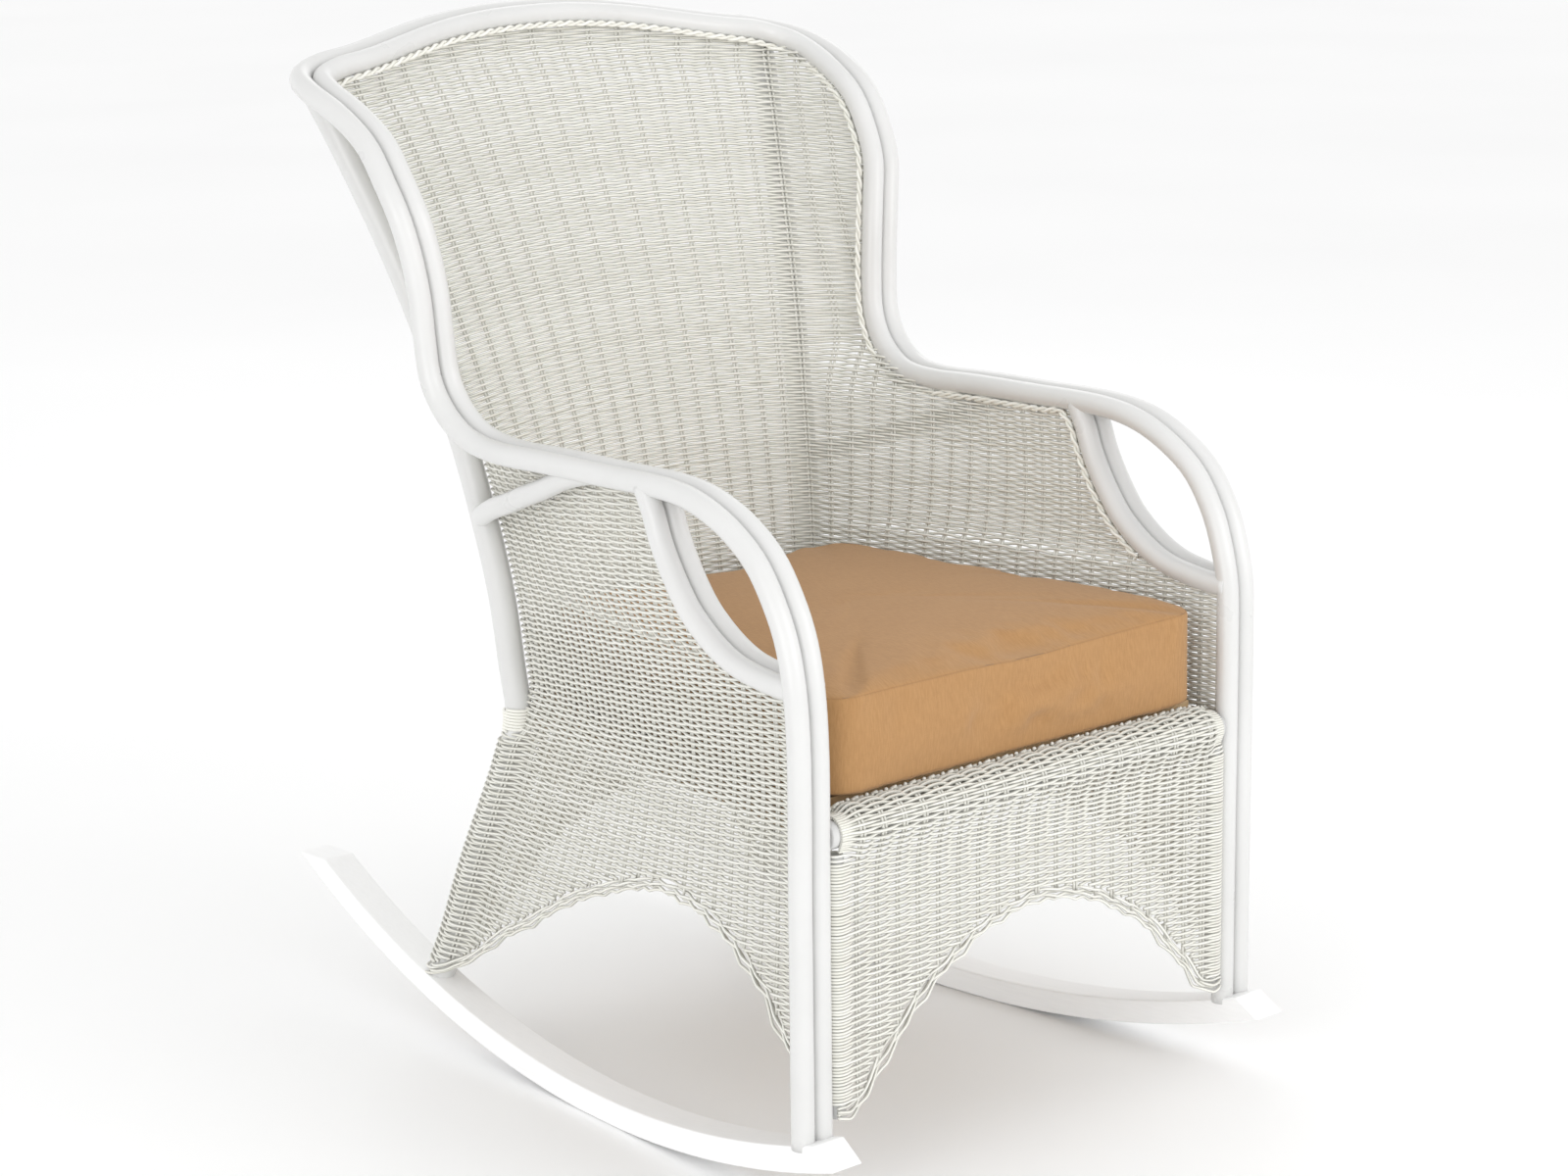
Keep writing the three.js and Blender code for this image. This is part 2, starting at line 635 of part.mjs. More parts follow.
const edgeAxis = [[APRON_X, LEG_Y, APRON_BOTTOM], [APRON_X, LEG_Y, RAIL_Z - ROLL_R - 1]].map(v3);
const edgePole = tube(edgeAxis, EDGE_R, SIDES);
addPair('apron_pole', edgePole, PAINT);
const edgeWrapAxis = [edgeAxis[0].clone(), edgeAxis[1].clone()];
edgeWrapAxis[0].z += 2;
const edgeWrap = cut(tube(edgeWrapAxis, EDGE_R + EDGE_WRAP, SIDES),
  [clear([[APRON_X, LEG_Y, 60], [APRON_X, LEG_Y, 420]].map(v3), EDGE_R), innerSideTool]);
addPair('apron_pole_wrap', edgeWrap, WEAVE);
const edgeWrapTool = clear([[APRON_X, LEG_Y, 60], [APRON_X, LEG_Y, 336]].map(v3),
  EDGE_R + EDGE_WRAP);

const rollAxis = [[-256, LEG_Y + 4, RAIL_Z], [256, LEG_Y + 4, RAIL_Z]].map(v3);
const roll = cut(tube(rollAxis, ROLL_R, 12), [frontRailTool, ...both(sideRailTool)]);
addPiece('apron_roll', roll, WEAVE);
const rollTool = tube([[-300, LEG_Y + 4, RAIL_Z], [300, LEG_Y + 4, RAIL_Z]].map(v3),
  ROLL_R + GAP, 12);

function apronGrid() {
  const rows = [];
  const xs = [];
  for (const [x] of FRONT_ARCH.slice(0, -2)) xs.push(x);
  xs.push(APRON_X);
  const columns = [...xs.map((x) => -x).reverse(), ...xs.slice(1)];
  for (const t of [0, 0.5, 1]) {
    rows.push(columns.map((x) => {
      const z = THREE.MathUtils.lerp(lookup(FRONT_ARCH, Math.abs(x)), RAIL_Z, t);
      return new THREE.Vector3(x, LEG_Y - 7, z);
    }));
  }
  return rows;
}
const apronTools = [rollTool, ...both(edgeWrapTool)];
addPiece('apron_weave', cut(sheet(apronGrid(), SKIN), apronTools), WEAVE);

const bindingAxis = smooth([KNEE_Z - 10, KNEE_Z, KNEE_Z + 10].map((z) => atHeight(postAxis, z)), 3);
const binding = cut(tube(bindingAxis, POST_R + POST_WRAP + 1.4, SIDES),
  [clear(postAxis, POST_R), sideRailTool]);
addPair('post_binding', binding, WEAVE);
const bindingTool = clear(bindingAxis, POST_R + POST_WRAP + 1.4);
const postWrap = cut(tube(wrapAxis, POST_R + POST_WRAP, SIDES),
  [clear(postAxis, POST_R), rockerTool, sideRailTool, bindingTool]);
addPair('post_wrap', postWrap, WEAVE);

// Braids lie in the inner corner between the frame and the weave.
function braidPoint(i, j, intoI, intoJ, along) {
  const edge = shell[i][j];
  const normal = shell.normals[i][j].clone();
  if (normal.dot(new THREE.Vector3(-edge.x, -300 - edge.y, 0)) < 0) normal.negate();
  const into = shell[intoI][intoJ].clone().sub(edge);
  into.addScaledVector(along, -into.dot(along)).normalize();
  return edge.clone().addScaledVector(into, BRAID_OFFSET.into).addScaledVector(normal,
    BRAID_OFFSET.out);
}

function sideBraidAxis() {
  const points = [];
  for (let i = 4 + LEVELS.indexOf(520); i < shell.length - 3; i++) {
    const along = shell[i + 1][0].clone().sub(shell[i - 1][0]).normalize();
    points.push(braidPoint(i, 0, i, 1, along));
  }
  return points;
}

function crestBraidAxis() {
  const points = [];
  const top = shell.length - 1;
  for (let j = 2; j < shell[0].length - 2; j++) {
    const along = shell[top][j + 1].clone().sub(shell[top][j - 1]).normalize();
    points.push(braidPoint(top, j, top - 1, j, along));
  }
  return points;
}

const sideBraid = smooth(sideBraidAxis(), 27);
const crestBraid = smooth(crestBraidAxis(), 22);
const sideBraidTool = clear(sideBraid, BRAID_R, BRAID_SIDES);
const braidTools = [sideBraidTool, clear(crestBraid, BRAID_R, BRAID_SIDES)];

const loopTool = clear(loopInner, POLE_R);
const loopOuterTool = clear(loopOuter, POLE_R);
const creaseColumn = SIDE_STEPS.length - 1;
const wrapTools = [postTool, wrapTool, bindingTool];
const panelTools = [
  ...frameTools, loopTool, loopOuterTool, edgeWrapTool, braceTool, rollTool, ...wrapTools,
  rockerTool, ...braidTools,
];
const sidePanel = cut(shellPanel(0, creaseColumn), panelTools);
addPair('side_weave', sidePanel, WEAVE);
const backTools = [
  ...frameTools, ...frameTools.map(flipX), ...wrapTools, ...wrapTools.map(flipX),
  ...both(sideRailTool), ...braidTools,
];
const backPanel = shellPanel(creaseColumn, shell[0].length - 1 - creaseColumn);
addPiece('back_weave', cut(backPanel, backTools), WEAVE);

// Cushion ------------------------------------------------------------------

function cushionOutline(inset) {
  const c = CUSHION;
  const z = (c.bottom + c.top) / 2;
  const row = SIDE_STEPS.map((s) => sidePoint(frontEdge(z), crease(z), s, bow(z)));
  const widthAt = (y) => lookup(row.map((p) => [p.y, p.x]), y) - SKIN / 2 - CUSHION.clearance - inset;
  const front = c.front + inset;
  const rear = c.rear - inset;
  const halves = [];
  const round = (cy, y0, sign, steps) => {
    const list = [];
    for (let i = 0; i <= steps; i++) {
      const a = (i / steps) * Math.PI / 2;
      const y = cy + sign * (c.corner - inset) * Math.cos(a);
      list.push([widthAt(cy) - (c.corner - inset) * (1 - Math.sin(a)), y]);
    }
    return list;
  };
  const frontWidth = Math.min(widthAt(front + c.corner), LEG_X - 2 * PAIR - POLE_R + 2 - inset);
  halves.push(...round(front + c.corner - inset, front, -1, 4)
    .map(([x, y]) => [Math.min(x, frontWidth), y]));
  for (const y of [-300, -200, -100, 0]) halves.push([Math.min(widthAt(y), frontWidth), y]);
  halves.push(...round(rear - c.corner + inset, rear, 1, 4).reverse());
  const outline = [...halves, ...halves.map(([x, y]) => [-x, y]).reverse()];
  return outline.map(([x, y]) => new THREE.Vector2(x, y));
}

function crownHeight(x, y, base, crown) {
  const c = CUSHION;
  const u = Math.min(1, Math.abs(x) / 235);
  const v = (y - c.front) / (c.rear - c.front) * 2 - 1;
  return base + crown * (1 - u ** 3) * (1 - Math.abs(v) ** 3);
}

// A filled pillow: straight sides with a domed top built of rings.
function pillow(inset, bottom, top, crown) {
  const outline = cushionOutline(inset);
  const centre = new THREE.Vector2(0, (CUSHION.front + CUSHION.rear) / 2);
  const rings = [1, 0.8, 0.55, 0.28];
  const positions = [];
  const n = outline.length;
  outline.forEach((p) => positions.push(p.x, p.y, bottom));
  for (const ring of rings) {
    outline.forEach((p) => {
      const q = centre.clone().lerp(p, ring);
      positions.push(q.x, q.y, ring === 1 ? top : crownHeight(q.x, q.y, top, crown));
    });
  }
  const topCentre = positions.length / 3;
  positions.push(centre.x, centre.y, crownHeight(centre.x, centre.y, top, crown));
  const bottomCentre = topCentre + 1;
  positions.push(centre.x, centre.y, bottom);
  const index = [];
  for (let i = 0; i < n; i++) {
    const j = (i + 1) % n;
    index.push(bottomCentre, j, i);
    for (let k = 0; k < rings.length; k++) {
      const a = k * n;
      const b = (k + 1) * n;
      index.push(a + i, a + j, b + j, a + i, b + j, b + i);
    }
    index.push(rings.length * n + i, rings.length * n + j, topCentre);
  }
  const geometry = new THREE.BufferGeometry();
  geometry.setAttribute('position', new THREE.Float32BufferAttribute(positions, 3));
  geometry.setIndex(index);
  geometry.computeVertexNormals();
  return geometry;
}

function box(w, d, h, x, y, z) {
  const solid = new THREE.BoxGeometry(w, d, h);
  solid.translate(x, y, z);
  return solid;
}

const zipZ = (CUSHION.bottom + CUSHION.top) / 2;
const zipSlot = box(CUSHION.zipWidth, CUSHION.zipSlot, CUSHION.zipHeight, 0, CUSHION.rear, zipZ);
const coverSolid = pillow(0, CUSHION.bottom, CUSHION.top, CUSHION.crown);
const coverHollow = pillow(CUSHION.skin, CUSHION.bottom + CUSHION.skin,
  CUSHION.top - CUSHION.skin, CUSHION.crown);
addPiece('cushion_cover', cut(coverSolid, [coverHollow, zipSlot]), CANVAS);
const foamInset = CUSHION.skin + GAP;
addPiece('cushion_foam',
  pillow(foamInset, CUSHION.bottom + foamInset, CUSHION.top - foamInset, CUSHION.crown - 0.1), FOAM);
addPiece('cushion_zip', box(CUSHION.zipWidth - 2 * GAP, CUSHION.zipDepth, CUSHION.zipHeight - 2 * GAP,
  0, CUSHION.rear - CUSHION.zipDepth / 2 - 0.2, zipZ), ZIP);

const braidFrame = [...frameTools, loopTool, loopOuterTool];
addPair('side_braid', cut(tube(sideBraid, BRAID_R, BRAID_SIDES), braidFrame), WEAVE);
addPiece('crest_braid', cut(tube(crestBraid, BRAID_R, BRAID_SIDES),
  [...braidFrame, ...braidFrame.map(flipX), ...both(sideBraidTool)]), WEAVE);

export default part;
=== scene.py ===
"""White wicker wing-back rocking chair with a canvas box cushion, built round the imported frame.

Lengths are in millimetres until a mesh is made, then in metres. The chair faces -Y, +Z is up, and
the sitter's left is +X. Every strand of the weave is real geometry.
"""
import math

import bmesh
import bpy
import numpy as np
from mathutils import Matrix, Vector


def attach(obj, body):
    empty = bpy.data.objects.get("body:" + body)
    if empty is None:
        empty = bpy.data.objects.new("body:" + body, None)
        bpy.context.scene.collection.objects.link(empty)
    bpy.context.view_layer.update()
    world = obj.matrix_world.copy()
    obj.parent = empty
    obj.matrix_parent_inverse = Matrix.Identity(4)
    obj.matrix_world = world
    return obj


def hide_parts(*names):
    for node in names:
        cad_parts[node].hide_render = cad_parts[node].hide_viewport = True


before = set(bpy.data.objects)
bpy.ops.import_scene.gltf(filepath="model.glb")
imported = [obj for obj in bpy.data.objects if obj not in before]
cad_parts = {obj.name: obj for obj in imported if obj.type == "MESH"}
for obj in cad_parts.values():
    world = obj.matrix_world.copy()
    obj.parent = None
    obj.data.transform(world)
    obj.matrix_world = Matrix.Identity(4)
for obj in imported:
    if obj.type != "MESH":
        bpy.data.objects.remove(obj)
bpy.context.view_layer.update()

MM = 0.001
rng = np.random.default_rng(7)

# ---------------------------------------------------------------- dimensions

POLE_R = 11.1            # bent frame poles
PAIR = 11.25             # half the distance between the two poles of a pair
POST_R = 13.8            # rear posts
BRACE_R = 10.6
EDGE_R = 8.4             # poles at the sides of the front apron
FRONT_RAIL_R = 13.8
FRONT_RAIL_END = 268     # half its length
RAIL_Z = 358             # seat rail height
LEG_X = 290              # middle of the pole pair at the front legs
LEG_Y = -415
RAIL_Y = LEG_Y + 4       # front rail
ARM_Z = 657              # the side weave changes here from the arm loop to the wing
APRON_X = 258
APRON_Y = -422
APRON_BOTTOM = 86
ROLL_R = 21.6            # middle of the weave rolled over the front rail
KNEE_Z = 353             # the weave leaves the rear post here
EAR_LEVEL = 975          # the pole pair turns from side by side to one behind the other
EAR_Y = 281.5            # the ears are behind this
CREST_TILT = 8           # degrees
# The rocker boards: arcs that toe in, with a level stretch at the lowest point.
ROCKER = dict(radius=1180, low_y=-95, width=38.7, depth=25.7, front_x=292, front_y=-447,
              toe_in=0.0833, bottom_front=-467, bottom_rear=467, top_front=-439, top_rear=416,
              flat=72, edge=2.2)

STRAND_R = 1.55          # weft strands
STAKE_R = 1.4            # upright stakes, in pairs
STAKE_GAP = 1.8          # from the middle of a pair to each of its stakes
ROW = 3.05               # height of one weft row
FLOAT = 2.3              # how far a strand stands off the middle of the weave
SQUARENESS = 0.75        # 1 lets a strand wave evenly; less keeps it longer on one side
STRAND_SIDES = 6
SIDE_SPAN = 22.5         # stake pairs from a front leg to a rear corner; one stands in the corner
BACK_SPAN = 16
APRON_PAIRS = 21
STEPS = 6                # samples of a strand from one stake pair to the next
WRAP_R = 15.6            # middle of the weave where it goes round a rear post
BACK_CROWN = 11          # rows of the back rise this much from the creases to the middle
SIDE_RISE = 9            # rows of the sides rise this much towards the front legs
POST_LEAN = 20           # rows drop this much away from the lowest part of the rear posts
LEAN_REACH = 55          # over about this distance from the post
PAIR_PITCH = 24          # usual distance between the stake pairs of a side
BACK_HALF = 220          # usual half width of the back
STEEPEST = 2.6
FOOT_Z = 66              # the weave's lowest points, at the feet of the rear posts

CUSHION = dict(bottom=382.2, top=479, crown=15, front=-411, rear=77, corner=34, clearance=9)
START_IN = 4             # the cover starts this much smaller, because filling it makes it grow

# Route points, the same as the frame's.
SIDE_SPINE = [
    (290, -415, 66), (290, -415, 160), (290, -415, 300), (290, -415, 449), (291.6, -412, 503),
    (291.6, -403, 542), (292.5, -390, 573), (292.5, -365, 609), (291.6, -330, 634.5),
    (291.2, -292, 651), (290, -250, 659), (290, -140, 659.5), (288.5, -60, 659),
    (287.6, 0, 657.5), (288.5, 39, 661), (291.6, 62, 669.5), (294.6, 86, 689), (298, 102, 718),
    (300.6, 107, 760), (303.5, 108.6, 800), (309, 112.5, 840), (316, 119, 876), (321, 136, 912),
    (323.4, 160, 946), (326, 200, 973), (327, 240, 990), (321, 264, 998.5), (308, 280, 1004),
]
CREST_SPINE = [
    (281, 288.5, 1011), (250, 292, 1015), (216, 300, 1020), (178, 310, 1026.5), (139, 319, 1033),
    (100, 324.5, 1038), (50, 328.5, 1042), (0, 330, 1043),
]
LOOP_SPINE = [
    (290, -208, 659), (290, -214, 647), (290, -220, 635), (290, -229, 611.6), (290, -240.5, 590),
    (290, -254.5, 568.6), (290, -269.5, 550), (290, -288.5, 534), (290, -310.5, 520),
    (290, -334, 510), (290, -360, 504.5), (290, -388, 501), (290, -415, 500),
]
POST_AXIS = [
    (238.5, 216.5, 59), (231.4, 195.5, 110), (221, 166, 200), (206, 126, 310), (202, 115.5, 353),
    (205.5, 120, 410), (211, 127.5, 487), (221, 144, 577), (233, 166, 667), (248, 194, 757),
    (266, 228, 847), (287, 267.5, 937), (303, 298, 1000),
]
BRACE_AXIS = [
    (292, -122, 656), (292.5, -104, 652), (293, -80, 644.5), (291, -45, 629.5), (287, -10, 616.5),
    (281, 20, 605), (273, 50, 595.2), (263, 75, 586.3), (252, 98, 577.1), (240, 117, 571),
    (225, 136, 567),
]
# Lower edges of the weave: distance along Y, or from the middle, then height.
SIDE_ARCH = [
    (-415, 132), (-371, 141), (-352, 158), (-336, 180), (-314, 197), (-283, 218), (-260, 229),
    (-233, 238), (-187, 245), (-144, 243), (-94, 229), (-57, 215), (-17, 198), (30, 171),
    (66, 148), (98, 132), (135, 105), (156, 90), (175, 78), (240, 64),
]
FRONT_ARCH = [
    (0, 238), (20, 236), (60, 228), (85, 219), (110, 205), (138, 189), (155, 176), (170, 162),
    (185, 145), (200, 131), (212, 118), (222, 105), (232, 94), (244, 88), (300, 88),
]
BACK_ARCH = [
    (0, 240), (40, 236), (75, 224), (105, 205), (130, 182), (152, 154), (172, 122), (190, 96),
    (205, 80), (240, 70),
]


# ------------------------------------------------------------------ materials

class Graph:
    """A node tree, with the few kinds of nodes that the materials and the sky are made of."""

    def __init__(self, tree):
        self.nodes = tree.nodes
        self.link = tree.links.new

    def noise(self, scale, detail, stretch=(1, 1, 1)):
        place = self.nodes.new("ShaderNodeTexCoord")
        mapping = self.nodes.new("ShaderNodeMapping")
        mapping.inputs["Scale"].default_value = stretch
        texture = self.nodes.new("ShaderNodeTexNoise")
        texture.inputs["Scale"].default_value = scale
        texture.inputs["Detail"].default_value = detail
        self.link(place.outputs["Object"], mapping.inputs["Vector"])
        self.link(mapping.outputs["Vector"], texture.inputs["Vector"])
        return texture.outputs["Fac"]

    def between(self, source, low, high, from_low=0.3, from_high=0.7):
        """Takes the range of a value to another range, and keeps it inside that."""
        ramp = self.nodes.new("ShaderNodeMapRange")
        ramp.inputs["From Min"].default_value = from_low
        ramp.inputs["From Max"].default_value = from_high
        ramp.inputs["To Min"].default_value = low
        ramp.inputs["To Max"].default_value = high
        self.link(source, ramp.inputs["Value"])
        return ramp.outputs["Result"]

    def blend(self, factor, first, second):
        """Mixes two colours, each an (r, g, b) or an output of another node."""
        mix = self.nodes.new("ShaderNodeMix")
        mix.data_type = "RGBA"
        for socket, value in ((mix.inputs[6], first), (mix.inputs[7], second)):
            if isinstance(value, tuple):
                socket.default_value = (*value, 1)
            else:
                self.link(value, socket)
        self.link(factor, mix.inputs[0])
        return mix.outputs[2]

    def attribute(self, name):
        """A mesh attribute."""
        node = self.nodes.new("ShaderNodeAttribute")
        node.attribute_name = name
        return node.outputs["Fac"]

    def bump(self, heights, strength, distance):
        node = self.nodes.new("ShaderNodeBump")
        node.inputs["Strength"].default_value = strength
        node.inputs["Distance"].default_value = distance
        self.link(heights, node.inputs["Height"])
        return node.outputs["Normal"]


def shader(name, **settings):
    """A new material, its node graph and its inputs, some of them set."""
    material = bpy.data.materials.new(name)
    material.use_nodes = True
    inputs = material.node_tree.nodes["Principled BSDF"].inputs
    for setting, value in settings.items():
        inputs[setting.replace("_", " ").title()].default_value = value
    return material, Graph(material.node_tree), inputs


def gloss_paint():
    """Sprayed white lacquer on bent poles: a little uneven, with faint greyer patches."""
    material, graph, inputs = shader("gloss_white_paint", coat_weight=0.25, coat_roughness=0.18)
    patches = graph.noise(9, 4)
    tone = graph.between(patches, 0.0, 1.0)
    colour = graph.blend(tone, (0.665, 0.665, 0.655), (0.705, 0.705, 0.697))
    graph.link(colour, inputs["Base Color"])
    graph.link(graph.between(patches, 0.26, 0.38), inputs["Roughness"])
    graph.link(graph.bump(graph.noise(220, 3), 0.08, 0.0004), inputs["Normal"])
    return material


def rocker_paint():
    """Satin white paint over planed timber, with the grain just showing along Y."""
    material, graph, inputs = shader("satin_white_paint")
    grain = graph.noise(60, 5, (6, 0.35, 6))
    tone = graph.between(grain, 0.0, 1.0)
    graph.link(graph.blend(tone, (0.92, 0.92, 0.92), (0.95, 0.95, 0.95)), inputs["Base Color"])
    graph.link(graph.between(grain, 0.46, 0.6), inputs["Roughness"])
    graph.link(graph.bump(grain, 0.12, 0.0005), inputs["Normal"])
    return material


def strand_paint(name, light, dark):
    """Painted fibre strand: each strand its own tone, with painted shade darkening the faces that look
    onto the next strands.
    """
    material, graph, inputs = shader(name)
    tint = graph.blend(graph.attribute("tone"), light, dark)
    # painted shade: where strands face their neighbours the colour goes towards a grey half as bright as
    # the dark tone
    shade = graph.between(graph.attribute("crevice_shade"), 0.0, 0.8, 0.2, 1.0)
    painted_shade_grey = tuple(0.5 * c for c in dark)
    graph.link(graph.blend(shade, tint, painted_shade_grey), inputs["Base Color"])
    speckle = graph.noise(900, 3)
    graph.link(graph.between(speckle, 0.42, 0.62), inputs["Roughness"])
    graph.link(graph.bump(speckle, 0.15, 0.0003), inputs["Normal"])
    return material


def canvas():
    """Tan outdoor canvas with slubs that run up the front band and back over the top, and darker
    seams."""
    material, graph, inputs = shader("tan_canvas", roughness=0.88, sheen_weight=0.12,
                                     sheen_roughness=0.5)
    slubs = graph.noise(1.0, 5, (760, 105, 105))
    tone = graph.between(slubs, 0.0, 1.0, 0.36, 0.66)
    base = graph.blend(tone, (0.385, 0.205, 0.078), (0.44, 0.242, 0.097))
    streak = graph.between(graph.noise(1.0, 4, (120, 900, 900)), 0.0, 0.28, 0.5, 0.8)
    woven = graph.blend(streak, base, (0.34, 0.178, 0.066))
    worn = graph.between(graph.noise(14, 3), 0.0, 0.22, 0.42, 0.7)
    cloth = graph.blend(worn, woven, (0.465, 0.262, 0.108))
    sewn = graph.blend(graph.attribute("seam"), cloth, (0.13, 0.06, 0.02))
    graph.link(sewn, inputs["Base Color"])
    graph.link(graph.bump(slubs, 0.35, 0.0006), inputs["Normal"])
    return material


def thread():
    """Dark brown, for the sewing thread and the zip."""
    material, graph, inputs = shader("dark_thread", roughness=0.7)
    tone = graph.between(graph.noise(1500, 2), 0.0, 1.0)
    colour = graph.blend(tone, (0.13, 0.062, 0.022), (0.19, 0.095, 0.036))
    graph.link(colour, inputs["Base Color"])
    return material


def timber():
    """Bare pine: the hidden rails and slats."""
    material, graph, inputs = shader("pine", roughness=0.65)
    grain = graph.noise(14, 6, (1.2, 9, 9))
    tone = graph.between(grain, 0.0, 1.0)
    graph.link(graph.blend(tone, (0.62, 0.45, 0.26), (0.46, 0.29, 0.14)), inputs["Base Color"])
    graph.link(graph.bump(grain, 0.2, 0.0006), inputs["Normal"])
    return material


def steel():
    """Zinc-plated steel, for the screws."""
    material, graph, inputs = shader("zinc_steel", base_color=(0.55, 0.56, 0.58, 1), metallic=1.0)
    graph.link(graph.between(graph.noise(400, 4), 0.28, 0.5), inputs["Roughness"])
    return material


PAINT = gloss_paint()
ROCKER_PAINT = rocker_paint()
WEFT = strand_paint("woven_strand", (0.88, 0.875, 0.82), (0.80, 0.79, 0.72))
STAKE = strand_paint("stake_strand", (0.86, 0.855, 0.81), (0.80, 0.79, 0.72))
CANVAS = canvas()
THREAD = thread()
TIMBER = timber()
STEEL = steel()


# ------------------------------------------------------------------- geometry

END_TAPER = 60           # the swells of a pole fade in over this length at each end
SPINE_SAMPLES = 321


def hermite(t, start, end, start_slope, end_slope):
    """A point of the cubic that joins start to end with the given slopes."""
    return ((2 * t**3 - 3 * t**2 + 1) * start + (t**3 - 2 * t**2 + t) * start_slope
            + (3 * t**2 - 2 * t**3) * end + (t**3 - t**2) * end_slope)


def run_lengths(path):
    """Length of a path up to each of its points."""
    return np.concatenate([[0], np.cumsum(np.linalg.norm(np.diff(path, axis=0), axis=1))])


def looked_up(at, keys, rows):
    """The rows, interpolated at the given values of their keys."""
    return np.stack([np.interp(at, keys, rows[:, k]) for k in range(rows.shape[1])], axis=-1)


def smooth(points, count):
    """Evenly spaced points on a centripetal Catmull-Rom curve through the given ones."""
    p = np.array(points, float)
    ends = (2 * p[0] - p[1], 2 * p[-1] - p[-2])
    p = np.vstack([ends[0], p, ends[1]])
    dense = [p[1]]
    for i in range(1, len(p) - 2):
        a, b, c, d = p[i - 1:i + 3]
        t0 = max(np.linalg.norm(b - a) ** 0.5, 1e-4)
        t1 = max(np.linalg.norm(c - b) ** 0.5, 1e-4)
        t2 = max(np.linalg.norm(d - c) ** 0.5, 1e-4)
        m1 = ((b - a) / t0 - (c - a) / (t0 + t1) + (c - b) / t1) * t1
        m2 = ((c - b) / t1 - (d - b) / (t1 + t2) + (d - c) / t2) * t1
        dense += [hermite(k / 30, b, c, m1, m2) for k in range(1, 31)]
    dense = np.array(dense)
    lengths = run_lengths(dense)
    return looked_up(np.linspace(0, lengths[-1], count), lengths, dense)


def table(pairs, x):
    """Straight-line lookup in a list of (x, value) pairs."""
    xs, values = zip(*pairs)
    return np.interp(x, xs, values)


def smoothstep(x, low, high):
    t = np.clip((x - low) / (high - low), 0, 1)
    return t * t * (3 - 2 * t)


def at_height(path, z):
    """Points of a path that rises along its length, at the heights z; straight on past its ends."""
    z = np.asarray(z, float)
    out = np.stack([np.interp(z, path[:, 2], path[:, k]) for k in range(2)] + [z], axis=-1)
    low = (path[1] - path[0]) / (path[1, 2] - path[0, 2])
    high = (path[-1] - path[-2]) / (path[-1, 2] - path[-2, 2])
    under = np.minimum(z - path[0, 2], 0)[..., None]
    over = np.maximum(z - path[-1, 2], 0)[..., None]
    out[..., :2] += (under * low + over * high)[..., :2]
    return out


def unit(v):
    return v / np.maximum(np.linalg.norm(v, axis=-1, keepdims=True), 1e-9)


def add_object(name, data):
    obj = bpy.data.objects.new(name, data)
    bpy.context.scene.collection.objects.link(obj)
    return obj


def make_mesh(name, vertices, faces, material, body="chair", attributes=None):
    """A new object from vertices in millimetres; faces is a list of index arrays, one per side count."""
    used = np.unique(np.concatenate([f.ravel() for f in faces]))
    remap = np.zeros(len(vertices), np.int64)
    remap[used] = np.arange(len(used))
    mesh = bpy.data.meshes.new(name)
    mesh.vertices.add(len(used))
    mesh.vertices.foreach_set("co", (np.asarray(vertices)[used] * MM).astype(np.float32).ravel())
    corners = np.concatenate([remap[f].ravel() for f in faces])
    sizes = np.concatenate([np.full(len(f), f.shape[1]) for f in faces])
    mesh.loops.add(len(corners))
    mesh.loops.foreach_set("vertex_index", corners.astype(np.int32))
    mesh.polygons.add(len(sizes))
    starts = np.concatenate([[0], np.cumsum(sizes)[:-1]])
    mesh.polygons.foreach_set("loop_start", starts.astype(np.int32))
    mesh.update(calc_edges=True)
    for key, values in (attributes or {}).items():
        layer = mesh.attributes.new(key, "FLOAT", "POINT")
        layer.data.foreach_set("value", np.asarray(values, np.float32)[used])
    mesh.validate()
    mesh.polygons.foreach_set("use_smooth", np.ones(len(mesh.polygons), bool))
    mesh.materials.append(material)
    obj = add_object(name, mesh)
    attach(obj, body)
    return obj


def tube_faces(rows, samples, sides, valid):
    """Side faces and end caps of a grid of tubes, kept where valid[row, sample] is true."""
    ring = np.arange(rows * samples).reshape(rows, samples) * sides
    k = np.arange(sides)
    nxt = (k + 1) % sides
    here = valid[:, :-1] & valid[:, 1:]
    a = ring[:, :-1][here][:, None]
    b = ring[:, 1:][here][:, None]
    quads = np.stack([a + k, a + nxt, b + nxt, b + k], axis=-1).reshape(-1, 4)
    padded = np.zeros((rows, samples + 1), bool)
    padded[:, 1:-1] = here
    starts = ring[padded[:, 1:] & ~padded[:, :-1]]
    stops = ring[padded[:, :-1] & ~padded[:, 1:]]
    caps = np.concatenate([starts[:, None] + k[::-1], stops[:, None] + k])
    return [quads, caps]


def tubes(centres, normals, radius, sides, valid=None):
    """Rings and faces of many tubes at once. centres and normals are [tube, sample, 3]."""
    centres = np.asarray(centres, float)
    rows, samples = centres.shape[:2]
    along = unit(np.gradient(centres, axis=1))
    up = unit(normals - (normals * along).sum(-1, keepdims=True) * along)
    side = np.cross(along, up)
    angle = 2 * np.pi * (np.arange(sides) + 0.5) / sides
    radius = np.broadcast_to(np.asarray(radius, float), (rows, samples))[..., None, None]
    ring = (np.cos(angle)[:, None] * side[:, :, None, :] + np.sin(angle)[:, None] * up[:, :, None, :])
    vertices = centres[:, :, None, :] + radius * ring
    valid = np.ones((rows, samples), bool) if valid is None else valid
    return vertices.reshape(-1, 3), tube_faces(rows, samples, sides, valid)


